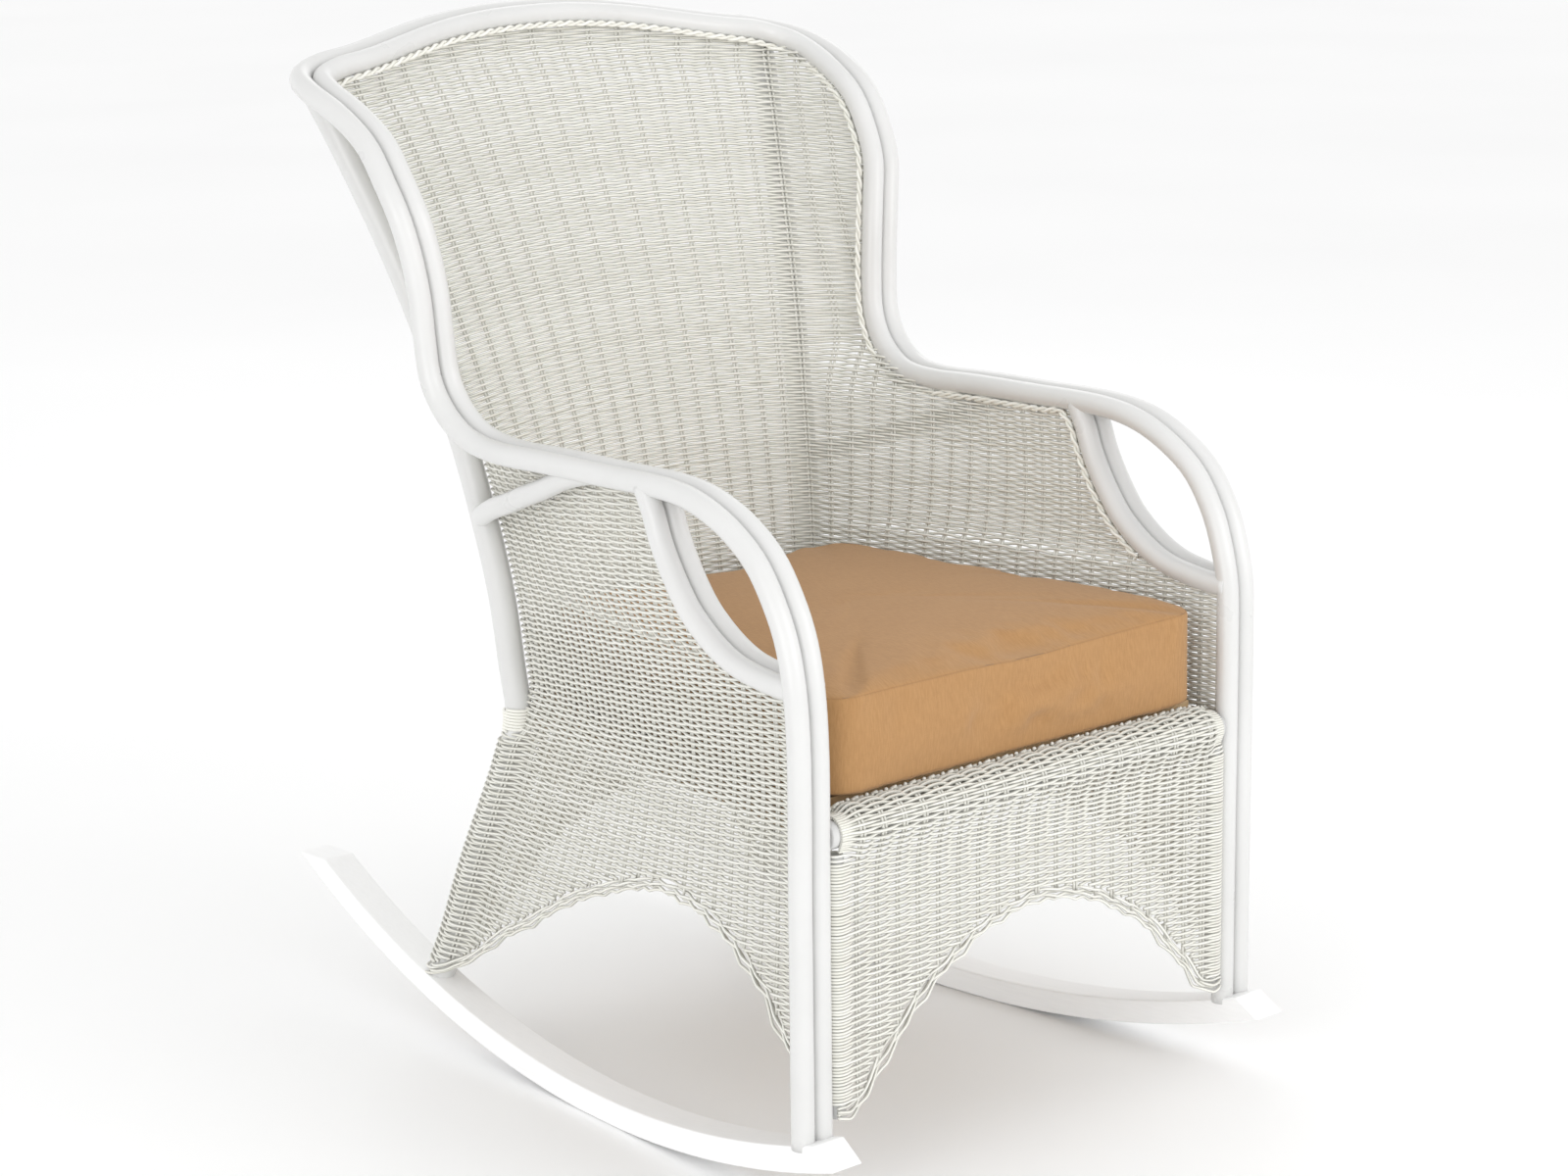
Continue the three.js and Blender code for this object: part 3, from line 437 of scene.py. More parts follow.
def carried_normals(path):
    """Normals carried along a path without twisting."""
    along = unit(np.gradient(path, axis=0))
    start = np.cross(along[0], (0.31, 0.95, 0.05))
    normals = [unit(start)]
    for t in along[1:]:
        n = normals[-1] - np.dot(normals[-1], t) * t
        normals.append(unit(n))
    return np.array(normals)


def pole(name, path, radius, *nodes, sides=20):
    """A round pole along a path, with the slight swells that a bent cane keeps under its paint."""
    path = np.asarray(path, float)
    length = run_lengths(path)
    phase = rng.uniform(0, 6.28)
    inside = smoothstep(length, 0, END_TAPER) * smoothstep(length[-1] - length, 0, END_TAPER)
    swell = 1 + inside * (0.006 * np.sin(length / 47 + phase) + 0.004 * np.sin(length / 19))
    vertices, faces = tubes(path[None], carried_normals(path)[None], radius * swell[None], sides)
    obj = make_mesh(name, vertices, faces, PAINT)
    for face in obj.data.polygons:
        face.use_smooth = len(face.vertices) != sides
    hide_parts(*nodes)


# --------------------------------------------------------------- double frame

def pair_directions(spine):
    """From the inner pole to the outer pole: level and square to the groove line."""
    sign = np.where(spine[:, 0] < 0, -1.0, 1.0)
    run = np.gradient(spine, axis=0)
    square = unit(np.stack([run[:, 1], -run[:, 0], 0 * sign], axis=1))
    lift = math.tan(math.radians(CREST_TILT)) * np.maximum(square[:, 1], 0)
    square[:, 2] = lift
    side = np.stack([sign, 0 * sign, 0 * sign], axis=1)
    turn = smoothstep(spine[:, 2], EAR_LEVEL - 12, EAR_LEVEL + 8)[:, None]
    return unit(averaged(side * (1 - turn) + unit(square) * turn, 4))


def averaged(values, reach):
    """Each row of values averaged with its neighbours."""
    padded = np.concatenate([values[:1].repeat(reach, 0), values, values[-1:].repeat(reach, 0)])
    total = np.cumsum(np.concatenate([np.zeros_like(values[:1]), padded]), axis=0)
    width = 2 * reach + 1
    return (total[width:] - total[:-width]) / width


left_half = SIDE_SPINE + CREST_SPINE
spine = smooth(left_half + [(-x, y, z) for x, y, z in left_half[-2::-1]], SPINE_SAMPLES)
MIDDLE = len(spine) // 2
directions = pair_directions(spine)
inner_axis = spine - PAIR * directions
outer_axis = spine + PAIR * directions
EAR = int(np.argmax(spine[:, 1] > EAR_Y))
inner_side = inner_axis[:EAR + 1]
post_axis = smooth(POST_AXIS, 90)
loop_path = smooth(LOOP_SPINE, 60)
loop_inner = loop_path - (PAIR, 0, 0)
loop_rising = loop_inner[::-1]
wing = inner_side[inner_side[:, 1] > 15]


def both_sides(make):
    for side, name in ((1, "left"), (-1, "right")):
        make(side, name)


def frame_poles(side, name):
    flip = (side, 1, 1)
    for which, shift in (("outer", PAIR), ("inner", -PAIR)):
        pole(f"arm_loop_{which}_pole_{name}", (loop_path + (shift, 0, 0)) * flip, POLE_R,
             f"arm_loop_{which}_{name}")
    pole(f"post_{name}", post_axis * flip, POST_R, f"back_post_{name}")
    pole(f"brace_{name}", smooth(BRACE_AXIS, 60) * flip, BRACE_R, f"arm_brace_{name}")
    edge = [(APRON_X, LEG_Y, APRON_BOTTOM), (APRON_X, LEG_Y, RAIL_Z - 20)]
    pole(f"apron_edge_{name}", smooth(edge, 12) * flip, EDGE_R, f"apron_pole_{name}", sides=16)


both_sides(frame_poles)
for which, axis in (("outer", outer_axis), ("inner", inner_axis)):
    pole(f"{which}_frame_pole", axis, POLE_R, f"{which}_side_pole_left", f"{which}_crest_pole",
         f"{which}_side_pole_right")
front_rail = smooth([(-FRONT_RAIL_END, RAIL_Y, RAIL_Z), (FRONT_RAIL_END, RAIL_Y, RAIL_Z)], 30)
pole("front_rail", front_rail, FRONT_RAIL_R, "seat_rail_front", sides=24)


# -------------------------------------------------------------------- rockers

def rocker_bottom(y):
    r = ROCKER["radius"]
    return r - np.sqrt(r * r - (y - ROCKER["low_y"]) ** 2)


def rocker(side, name):
    """A board sawn to two arcs, its outline followed round in side view, with rounded edges."""
    r = ROCKER
    level = rocker_bottom(r["low_y"] + r["flat"] / 2)
    flat = r["flat"] / 2
    before = np.linspace(r["bottom_front"], r["low_y"] - flat, 34)
    after = np.linspace(r["low_y"] + flat, r["bottom_rear"], 44)
    under = np.concatenate([before, after])
    top = np.linspace(r["top_rear"], r["top_front"], 78)
    tilt = np.arcsin((top - r["low_y"]) / r["radius"])
    low = np.stack([under, rocker_bottom(under) - level], axis=1)
    high = np.stack([top, rocker_bottom(top) + r["depth"] / np.cos(tilt) - level], axis=1)
    profile = np.concatenate([low, high])
    centre = r["front_x"] - r["toe_in"] * (profile[:, 0] - r["front_y"])
    rings = []
    for offset in (-r["width"] / 2, r["width"] / 2):
        rings.append(np.stack([side * (centre + offset), profile[:, 0], profile[:, 1]], axis=1))
    n = len(profile)
    k = np.arange(n)
    quads = np.stack([k, (k + 1) % n, (k + 1) % n + n, k + n], axis=1)
    j = np.arange(n // 2 - 1)
    sides = np.concatenate([
        np.stack([j, n - 1 - j, n - 2 - j, j + 1], axis=1),
        np.stack([j, j + 1, n - 2 - j, n - 1 - j], axis=1) + n])
    obj = make_mesh(f"rocker_board_{name}", np.concatenate(rings), [quads, sides], ROCKER_PAINT)
    bm = bmesh.new()
    bm.from_mesh(obj.data)
    bmesh.ops.recalc_face_normals(bm, faces=bm.faces)
    bm.to_mesh(obj.data)
    bm.free()
    bevel = obj.modifiers.new("edges", "BEVEL")
    bevel.width = r["edge"] * MM
    bevel.segments = 3
    bevel.limit_method = "ANGLE"
    bevel.angle_limit = math.radians(25)
    bevel.harden_normals = True
    obj.data.set_sharp_from_angle(angle=bevel.angle_limit)
    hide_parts(f"rocker_{name}")


both_sides(rocker)


# ---------------------------------------------------------------- woven shell
# The sides and the back are one sheet of weave. Its columns count stake pairs from the left front
# leg, round the back, to the right front leg; a pair stands at each half number.

SIDE_BOW = [(250, 1.05), (450, 1.5), (560, 2.2), (655, 3.4), (700, 1.7), (800, 1.25)]
BACK_BULGE = [(353, 4), (500, 12), (700, 22), (900, 26)]
CREASE_SHIFT = (9, 17.5, 0)              # from a post to the corner of the weave in front of it
UNDER_ARM, OVER_ARM = ARM_Z - 1, ARM_Z + 3
ARM_BLEND = (625, 705)   # the shapes below and above the arm blend between these heights
RISE_FROM, RISE_OVER = 120, 400          # a row of the side rises towards the leg over this run
SLANT_OVER = 260         # below the knee the rows come to slant fully over this height
WRAP_REACH = 17          # how far beside a post the weave stands off for the wrapping
COLUMNS = 2 * SIDE_SPAN + BACK_SPAN
CREASE_LEFT = int(SIDE_SPAN * STEPS)
CREASE_RIGHT = int((SIDE_SPAN + BACK_SPAN) * STEPS)


def smooth_table(pairs):
    """A rounded-off copy of a lookup table."""
    curve = smooth([(x, 0, value) for x, value in pairs], 200)
    return list(zip(curve[:, 0], curve[:, 2]))


side_arch = smooth_table(SIDE_ARCH)
front_arch = smooth_table(FRONT_ARCH)
back_arch = smooth_table(BACK_ARCH)


def front_edge(z):
    """Where the side panel meets the frame at its front, at the heights z."""
    z = np.asarray(z, float)
    leg = np.stack([np.full_like(z, LEG_X - PAIR), np.full_like(z, LEG_Y), z], axis=-1)
    loop = at_height(loop_rising, z)
    side = at_height(wing, z)
    low = (z <= loop_rising[0, 2])[..., None]
    middle = (z < ARM_Z)[..., None]
    return np.where(low, leg, np.where(middle, loop, side))


def crease(z):
    """The corner between side and back: in front of the post above the knee, on it below."""
    free = smoothstep(np.asarray(z, float), KNEE_Z - 6, KNEE_Z + 42)[..., None]
    return at_height(post_axis, z) - free * CREASE_SHIFT


def bow(z):
    """How long a row of the side keeps straight before it turns in to the corner."""
    return table(SIDE_BOW, z)


def wrapping(z):
    """How far the weave is wrapped round the rear post: fully below the knee, not above it."""
    return 1 - smoothstep(z, KNEE_Z - 22, KNEE_Z + 2)


def wrap_bump(distance, z):
    """How far the weave stands off beside a wrapped post."""
    return wrapping(z) * WRAP_R * np.exp(-(distance / WRAP_REACH) ** 2)


def side_surface(share, z):
    """Points of the left side at a share of the way from the leg to the crease, at heights z."""
    corner = crease(z)
    y = LEG_Y + (corner[..., 1] - LEG_Y) * share
    below, above = np.minimum(z, UNDER_ARM), np.maximum(z, OVER_ARM)
    low = bent_across(front_edge(below), corner, y, bow(below))
    high = bent_across(front_edge(above), corner, y, bow(above))
    x = low + (high - low) * smoothstep(z, *ARM_BLEND)
    x = x + wrap_bump(corner[..., 1] - y, z)
    return np.stack([x, y, z], axis=-1)


def bent_across(front, corner, y, power):
    """Distance from the middle of a row that keeps straight before it turns in to the corner."""
    s = np.clip((y - front[..., 1]) / np.maximum(corner[..., 1] - front[..., 1], 1), 0, 1)
    return corner[..., 0] + (front[..., 0] - corner[..., 0]) * (1 - s ** power)


def post_surface(share, z):
    """Points of the quarter turn round the rear of the left post."""
    corner = crease(z)
    radius = wrapping(z) * WRAP_R
    x = corner[..., 0] + radius * np.cos(share * np.pi / 2)
    y = corner[..., 1] + radius * np.sin(share * np.pi / 2)
    return np.stack([x, y, z], axis=-1)


def back_surface(t, z):
    """Points of the back; t runs from 1 at the left crease to -1 at the right one."""
    corner = crease(z)
    bulge = table(BACK_BULGE, z)
    x = corner[..., 0] * t
    y = corner[..., 1] + bulge * (1 - t * t)
    y = y + wrap_bump(corner[..., 0] * (1 - np.abs(t)), z)
    crest = crest_point(np.abs(x))
    near_top = smoothstep(z, crest[..., 2] - 70, crest[..., 2] - 4)
    y = y + (crest[..., 1] - y) * near_top
    return np.stack([x, y, z], axis=-1)


crest_axis = inner_axis[EAR - 12:MIDDLE + 1][::-1]


def crest_point(x):
    """The inner crest pole's middle line at the distances x from the middle."""
    return looked_up(x, crest_axis[:, 0], crest_axis)


def shell_surface(column, z):
    """Points of the whole sheet at the given columns and heights."""
    right = column > COLUMNS / 2
    c = np.where(right, COLUMNS - column, column)
    turn = np.maximum(wrapping(z), 1e-6)
    side_end = SIDE_SPAN - turn / 2
    back_start = SIDE_SPAN + turn / 2
    side = side_surface(np.clip(c / side_end, 0, 1), z)
    post = post_surface(np.clip((c - side_end) / turn, 0, 1), z)
    back = back_surface(1 - 2 * (c - back_start) / (BACK_SPAN - turn), z)
    point = np.where((c < side_end)[..., None], side,
                     np.where((c < back_start)[..., None], post, back))
    point[..., 0] = np.where(right, -point[..., 0], point[..., 0])
    return point


def arch_height(column):
    """Height of the lower edge of the sheet at the given columns."""
    c = np.minimum(column, COLUMNS - column)
    z = np.full(np.shape(column), 200.0)
    for _ in range(6):
        point = shell_surface(c, z)
        side = table(side_arch, point[..., 1])
        back = table(back_arch, np.abs(point[..., 0]))
        foot = smoothstep(np.abs(c - SIDE_SPAN), 0.4, 1.2)
        wanted = np.where(c < SIDE_SPAN, side, back)
        z = 0.5 * z + 0.5 * (FOOT_Z + (wanted - FOOT_Z) * foot)
    return z


def row_heights(column, level):
    """Heights along a row: it rises in the middle of the back and towards the front legs, and
    below the knee it drops square to the slanting post."""
    c = np.minimum(column, COLUMNS - column)
    away = np.maximum(SIDE_SPAN - c, 0) * PAIR_PITCH
    inward = np.clip((c - SIDE_SPAN) / (BACK_SPAN / 2), 0, 1)
    crown = BACK_CROWN * (1 - (1 - inward) ** 2)
    rise = SIDE_RISE * np.clip((away - RISE_FROM) / RISE_OVER, 0, 1) ** 2
    lean = POST_LEAN * np.clip((KNEE_Z - level) / SLANT_OVER, 0, 1)
    in_side = 1 - np.exp(-away / LEAN_REACH)
    in_back = 1 - np.exp(-inward * BACK_HALF / LEAN_REACH)
    drop = lean * in_side + 0.5 * lean * in_back
    return level - BACK_CROWN + crown + rise - drop


def steepness(line):
    """How much longer than its level distance each part of a line is, within a limit."""
    step = np.gradient(line, axis=0)
    level = np.maximum(np.linalg.norm(step[:, :2], axis=1), 1e-6)
    return np.clip(np.sqrt(1 + (step[:, 2] / level) ** 2), 1, STEEPEST)


def grid_normals(surface):
    """Normals of a grid of points [row, sample]."""
    across = np.gradient(surface, axis=1)
    up = np.gradient(surface, axis=0)
    return unit(np.cross(across, up))


def strand_mesh(name, vertices, faces, tone, crevice_shade, *nodes, material=WEFT):
    """A mesh of strands, with a tone for each vertex or one for all, and likewise an amount of painted
    crevice shade.
    """
    count = len(vertices)
    attributes = {"tone": np.broadcast_to(tone, count), "crevice_shade": np.broadcast_to(crevice_shade, count)}
    obj = make_mesh(name, vertices, faces, material, attributes=attributes)
    if nodes:
        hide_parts(*nodes)


def crevice_shade_mask(rows, samples):
    """1 on the parts of the strands that face the next strands, 0 on their outer faces: the mask for the
    painted shade in the crevices between strands.
    """
    angle = 2 * np.pi * (np.arange(STRAND_SIDES) + 0.5) / STRAND_SIDES
    return np.tile(np.abs(np.cos(angle)), rows * samples)


def weft(name, surface, columns, valid, *nodes, first_row=0, normals=None, flatten=0.0):
    """Woven rows on a grid of points [row, sample]. A strand passes over every other stake pair,
    and the next row passes over the others; where flatten is 1 it goes straight."""
    shape = surface.shape[:2]
    normals = grid_normals(surface) if normals is None else normals
    number = np.arange(shape[0])[:, None] + first_row
    wave = np.cos(np.pi * (columns[None, :] - 0.5 + number))
    wave = np.sign(wave) * np.abs(wave) ** SQUARENESS * (1 - smoothstep(flatten, 0, 1))
    drift = rng.normal(0, 0.09, (shape[0], 1)) + 0.1 * np.sin(columns * 0.9 + number * 2.4)
    up = unit(np.gradient(surface, axis=0))
    centres = surface + normals * (wave * FLOAT)[..., None] + up * drift[..., None]
    radius = STRAND_R * rng.uniform(0.96, 1.05, (shape[0], 1))
    vertices, faces = tubes(centres, normals, radius, STRAND_SIDES, valid)
    tone = np.broadcast_to(rng.uniform(0, 1, (shape[0], 1, 1)), (*shape, STRAND_SIDES))
    # painted crevice shade on the faces of each strand that look onto its neighbours
    strand_mesh(name, vertices, faces, tone.ravel(), crevice_shade_mask(*shape), *nodes)


def stakes(name, surface, normals, columns, valid, step=4):
    """Two stakes at each pair, following the same grid of points."""
    picked = np.unique(np.append(np.arange(0, surface.shape[0], step), surface.shape[0] - 1))
    width = np.linalg.norm(np.diff(surface, axis=1), axis=-1).mean() * STEPS
    paths = []
    facing = []
    shown = []
    for pair in range(math.ceil(columns[0] + 0.01), math.floor(columns[-1] + 0.99)):
        for side in (-1, 1):
            at = (pair - 0.5 - columns[0] + side * STAKE_GAP / width) * STEPS
            i = int(np.floor(at))
            w = at - i
            paths.append(surface[picked, i] * (1 - w) + surface[picked, i + 1] * w)
            facing.append(normals[picked, i])
            shown.append(valid[picked, i] & valid[picked, i + 1])
    vertices, faces = tubes(np.array(paths), np.array(facing), STAKE_R, STRAND_SIDES,
                            np.array(shown))
    # the stakes get an even amount of painted crevice shade all along
    strand_mesh(name, vertices, faces, 0.4, 0.4, material=STAKE)


def row_numbers(low, high):
    """Numbers of the weft rows between two heights, counted from the floor."""
    return np.arange(math.ceil(low / ROW), math.ceil(high / ROW))


BORDER = 4               # strands that follow a lower edge
BORDER_SAG = 2.8         # how far the lowest of them hangs between two stake pairs
BORDER_LIFT = 1.2        # the lowest strand above the edge
BORDER_STEPS = 9         # samples from one stake pair to the next
BOTTOM, MEETING, BACK_MEETING, TOP = 40, 430, 560, 1060    # heights of the bands of rows
BANDS = (("low", BOTTOM, MEETING), ("high", MEETING, TOP))
BACK_BANDS = (("low", BOTTOM, BACK_MEETING), ("high", BACK_MEETING, TOP))


def shell_grid(low, high):
    """Points, normals, columns and first row number of the whole sheet between two heights."""
    columns = np.linspace(0, COLUMNS, int(COLUMNS * STEPS) + 1)
    numbers = row_numbers(low, high)
    column, level = np.meshgrid(columns, numbers * ROW, indexing="ij")
    surface = shell_surface(column.T, row_heights(column.T, level.T))
    return surface, grid_normals(surface), columns, numbers[0]


def shell_valid(surface, columns, margin):
    """Where the sheet is inside the frame and at least a margin above its lower edge."""
    x, y, z = np.abs(surface[..., 0]), surface[..., 1], surface[..., 2]
    c = np.minimum(columns, COLUMNS - columns)[None, :]
    in_side = (y >= front_edge(z)[..., 1] - 4) & (z < inner_side[-1, 2])
    in_back = z < crest_point(x)[..., 2] - 2
    edge = arch_height(columns)
    clear = margin * steepness(shell_surface(columns, edge))
    return np.where(c < SIDE_SPAN, in_side, in_back) & (z > (edge + clear)[None, :])


def woven_part(name, bands, first, last, *nodes):
    """The rows of the sheet between two samples, in a low and a high piece."""
    for band, low, high in bands:
        surface, normals, columns, first_row = shell_grid(low, high)
        valid = shell_valid(surface, columns, BORDER * ROW)
        cut = slice(first, last + 1)
        weft(f"{name}_weft_{band}", surface[:, cut], columns[cut], valid[:, cut],
             *(nodes if band == "low" else ()), first_row=first_row, normals=normals[:, cut])


def shell_stakes():
    surface, normals, columns, _ = shell_grid(BOTTOM, TOP)
    stakes("shell_stakes", surface, normals, columns, shell_valid(surface, columns, 3))


woven_part("side_left", BANDS, 0, CREASE_LEFT, "side_weave_left", "post_wrap_left")
woven_part("back", BACK_BANDS, CREASE_LEFT, CREASE_RIGHT, "back_weave")
woven_part("side_right", BANDS, CREASE_RIGHT, int(COLUMNS * STEPS),
           "side_weave_right", "post_wrap_right")
shell_stakes()


# -------------------------------------------------------------- lower borders

def border_rows(columns, place):
    """Strands that follow a lower edge, one above another, hanging between the stake pairs.
    place(columns, rise) gives points at a height above the edge."""
    rows = []
    for j in range(BORDER):
        sag = BORDER_SAG * (1 - j / (BORDER + 1)) * (1 - np.abs(np.cos(np.pi * columns)))
        rows.append(place(columns, j * ROW + BORDER_LIFT - sag))
    return np.array(rows)


def shell_border():
    columns = np.linspace(0.2, COLUMNS - 0.2, int(COLUMNS * BORDER_STEPS))
    edge = arch_height(columns)
    steep = steepness(shell_surface(columns, edge))
    surface = border_rows(columns, lambda c, rise: shell_surface(c, edge + rise * steep))
    weft("shell_border", surface, columns, np.ones(surface.shape[:2], bool))


shell_border()


# ---------------------------------------------------------------- front apron

EDGE_LAY = EDGE_R + STRAND_R + 0.3      # the strands' distance from an edge pole's middle
EDGE_SWELL = 24          # the panel comes back to the edge pole over this width
CLOSE_IN = 26            # the roll closes in on the rail over this width at each end
CLOSED_R = FRONT_RAIL_R + 2.6
STRAIGHT_FROM, STRAIGHT_TO = APRON_X - 16, APRON_X - 5    # strands stop weaving between these
STAKES_TO = APRON_X - 8


def roll_profile():
    """From the top rear of the roll, over the front rail and down the panel, in (y, z)."""
    points = []
    for degrees in (172, 156, 138, 115, 90, 65, 40, 15, -10, -30):
        a = math.radians(degrees)
        points.append((0, RAIL_Y - ROLL_R * math.cos(a), RAIL_Z + ROLL_R * math.sin(a)))
    points += [(0, APRON_Y - 2.6, 334), (0, APRON_Y - 0.6, 316), (0, APRON_Y, 296),
               (0, APRON_Y, 240), (0, APRON_Y, 180), (0, APRON_Y, 120), (0, APRON_Y, 80)]
    length = run_lengths(smooth(points, 900))[-1]
    return smooth(points, int(length / ROW))[::-1]


profile = roll_profile()


def apron_grid():
    """Rows from the bottom of the panel up and over the rail; at each side of the panel they turn
    back round the edge pole, and on the rail they close in on it."""
    columns = np.linspace(0, APRON_PAIRS, APRON_PAIRS * STEPS + 1)
    run = APRON_X + EDGE_LAY * np.pi * 0.6
    u = (2 * columns / APRON_PAIRS - 1) * run
    y0, u2 = np.meshgrid(profile[:, 1], u, indexing="ij")
    z0 = np.broadcast_to(profile[:, 2][:, None], u2.shape)
    flat = np.clip(np.abs(u2), 0, APRON_X)
    turn = (np.abs(u2) - flat) / EDGE_LAY
    below = smoothstep(-z0, -343, -331) * (y0 < RAIL_Y)
    crown = 7 * (1 - (flat / APRON_X) ** 2) * smoothstep(-z0, -335, -290)
    swell = smoothstep(flat, APRON_X - EDGE_SWELL, APRON_X) * below
    y = y0 + (LEG_Y - EDGE_LAY - y0) * swell + below * EDGE_LAY * (1 - np.cos(turn))
    x = np.sign(u2) * (flat + EDGE_LAY * (below * np.sin(turn) + (1 - below) * turn * 0.4))
    closing = (1 - below) * smoothstep(flat, APRON_X - CLOSE_IN, APRON_X - 2)
    squeeze = 1 - closing * (1 - CLOSED_R / ROLL_R)
    y = RAIL_Y + (y - RAIL_Y) * squeeze
    z = RAIL_Z + (z0 - RAIL_Z) * squeeze
    return np.stack([x, y, z + crown], axis=-1), columns


def apron():
    surface, columns = apron_grid()
    x, z = np.abs(surface[..., 0]), surface[..., 2]
    over_leg = (x > APRON_X + 4) & (z > 340)
    line = x[0]
    edge = table(front_arch, line)
    steep = steepness(np.stack([surface[0, :, 0], 0 * line, edge], axis=-1))
    valid = (z > edge + BORDER * ROW * steep) & ~over_leg
    flatten = smoothstep(x, STRAIGHT_FROM, STRAIGHT_TO)
    weft("apron_weft", surface, columns, valid, "apron_weave", "apron_roll", flatten=flatten)
    shown = (z > edge + 3) & ~over_leg & (x < STAKES_TO)
    shown &= surface[..., 1] < RAIL_Y + 0.5 * ROLL_R
    stakes("apron_stakes", surface, grid_normals(surface), columns, shown, 3)


def front_edge_line(columns, rise):
    x = (2 * columns / APRON_PAIRS - 1) * (APRON_X + 7)
    edge = table(front_arch, np.abs(x))
    steep = steepness(np.stack([x, 0 * x, edge], axis=-1))
    z = edge + rise * steep
    swell = smoothstep(np.abs(x), APRON_X - EDGE_SWELL, APRON_X)
    y = APRON_Y + (LEG_Y - EDGE_LAY - APRON_Y) * swell
    y = y + 0.25 * np.maximum(np.abs(x) - APRON_X, 0)
    return np.stack([x, y, z], axis=-1)


def apron_border():
    columns = np.linspace(0, APRON_PAIRS, APRON_PAIRS * BORDER_STEPS + 1)
    surface = border_rows(columns, front_edge_line)
    weft("apron_border", surface, columns, np.ones(surface.shape[:2], bool))


def edge_rings(side, name):
    """The rear halves of the strands that turn back round the apron's edge pole."""
    levels = row_numbers(APRON_BOTTOM, RAIL_Z - 18) * ROW
    angle = np.linspace(0, 1, 9) * np.pi
    z, a = np.meshgrid(levels, angle, indexing="ij")
    x = APRON_X + (EDGE_LAY - 1) * np.cos(a)
    y = LEG_Y + (EDGE_LAY - 1) * np.sin(a)
    surface = np.stack([x, y, z], axis=-1)
    if side < 0:
        surface = (surface * (-1, 1, 1))[:, ::-1]
    vertices, faces = tubes(surface, grid_normals(surface), STRAND_R, STRAND_SIDES)
    tone = np.repeat(rng.uniform(0, 1, len(levels)), len(angle) * STRAND_SIDES)
    strand_mesh(f"apron_edge_rings_{name}", vertices, faces, tone, 0, f"apron_pole_wrap_{name}")


def roll_scallops():
    """Loops along the rear edge of the roll, each reaching from one stake pair past the next."""
    pitch = 2 * APRON_X / APRON_PAIRS
    t = np.linspace(0, 1, 17)
    strands = []
    for layer in range(3):
        for k in range(-1, APRON_PAIRS + 1):
            x = -APRON_X + (k + 0.2 + 0.33 * layer + 1.55 * t) * pitch
            lift = np.sin(np.pi * t)
            angle = np.radians(112 + 40 * lift + 5 * layer)
            radius = ROLL_R + 2.2 + 2.4 * np.cos(2 * np.pi * t + layer)
            closing = smoothstep(np.abs(x), APRON_X - CLOSE_IN, APRON_X)
            squeeze = 1 - closing * (1 - 17.5 / ROLL_R)
            x = np.clip(x, -APRON_X - 3, APRON_X + 3)
            strands.append(np.stack([x, RAIL_Y - radius * squeeze * np.cos(angle),
                                     RAIL_Z + radius * squeeze * np.sin(angle)], axis=1))
    centres = np.array(strands)
    outward = unit((centres - (0, RAIL_Y, RAIL_Z)) * (0, 1, 1))
    sides = 7
    vertices, faces = tubes(centres, outward, STRAND_R * 1.15, sides)
    tone = np.repeat(rng.uniform(0, 0.8, len(strands)), len(t) * sides)
    strand_mesh("roll_scallops", vertices, faces, tone, 0)


apron()
apron_border()
both_sides(edge_rings)
roll_scallops()


# ------------------------------------------------------------ braids, binding

BRAID_INTO = 13.6        # from the inner pole's middle towards the weave
BRAID_OUT = 6.2          # and towards the seat
BRAID_TWIST = 27         # length of one full turn of its two strands
BRAID_R = 1.75           # from the braid's middle to each of them
BRAID_STRAND_R = 1.7
BRAID_FOOT, BRAID_ARM = 522, 640          # it follows the loop between these heights
BRAID_ARM_Y = -196       # and the frame's inner pole behind this
BRAID_JOIN_Y = 258       # the side braids end and the crest's begins here
BRAID_TURN_Y = 215       # behind this it turns from facing the seat to facing the crest's way
BRAID_TURN_END = 60      # how far past the ear the turn ends
CREST_FACING = np.array([0, -0.93, 0.36])
BINDING = dict(turns=7, pitch=3.3, below=10, strand=1.65)


def twist(name, path, normals, pitch, node):
    """Two strands twisted round a path."""
    length = run_lengths(path)
    along = unit(np.gradient(path, axis=0))
    side = np.cross(along, normals)
    centres = []
    for start in (0, 0.5):
        a = 2 * np.pi * (length / pitch + start)
        offset = np.cos(a)[:, None] * side + np.sin(a)[:, None] * normals
        centres.append(path + BRAID_R * offset)
    centres = np.array(centres)
    sides = 8
    vertices, faces = tubes(centres, np.broadcast_to(normals, centres.shape), BRAID_STRAND_R, sides)
    tone = np.repeat((0, 0.7), len(path) * sides)
    strand_mesh(name, vertices, faces, tone, 0, node)


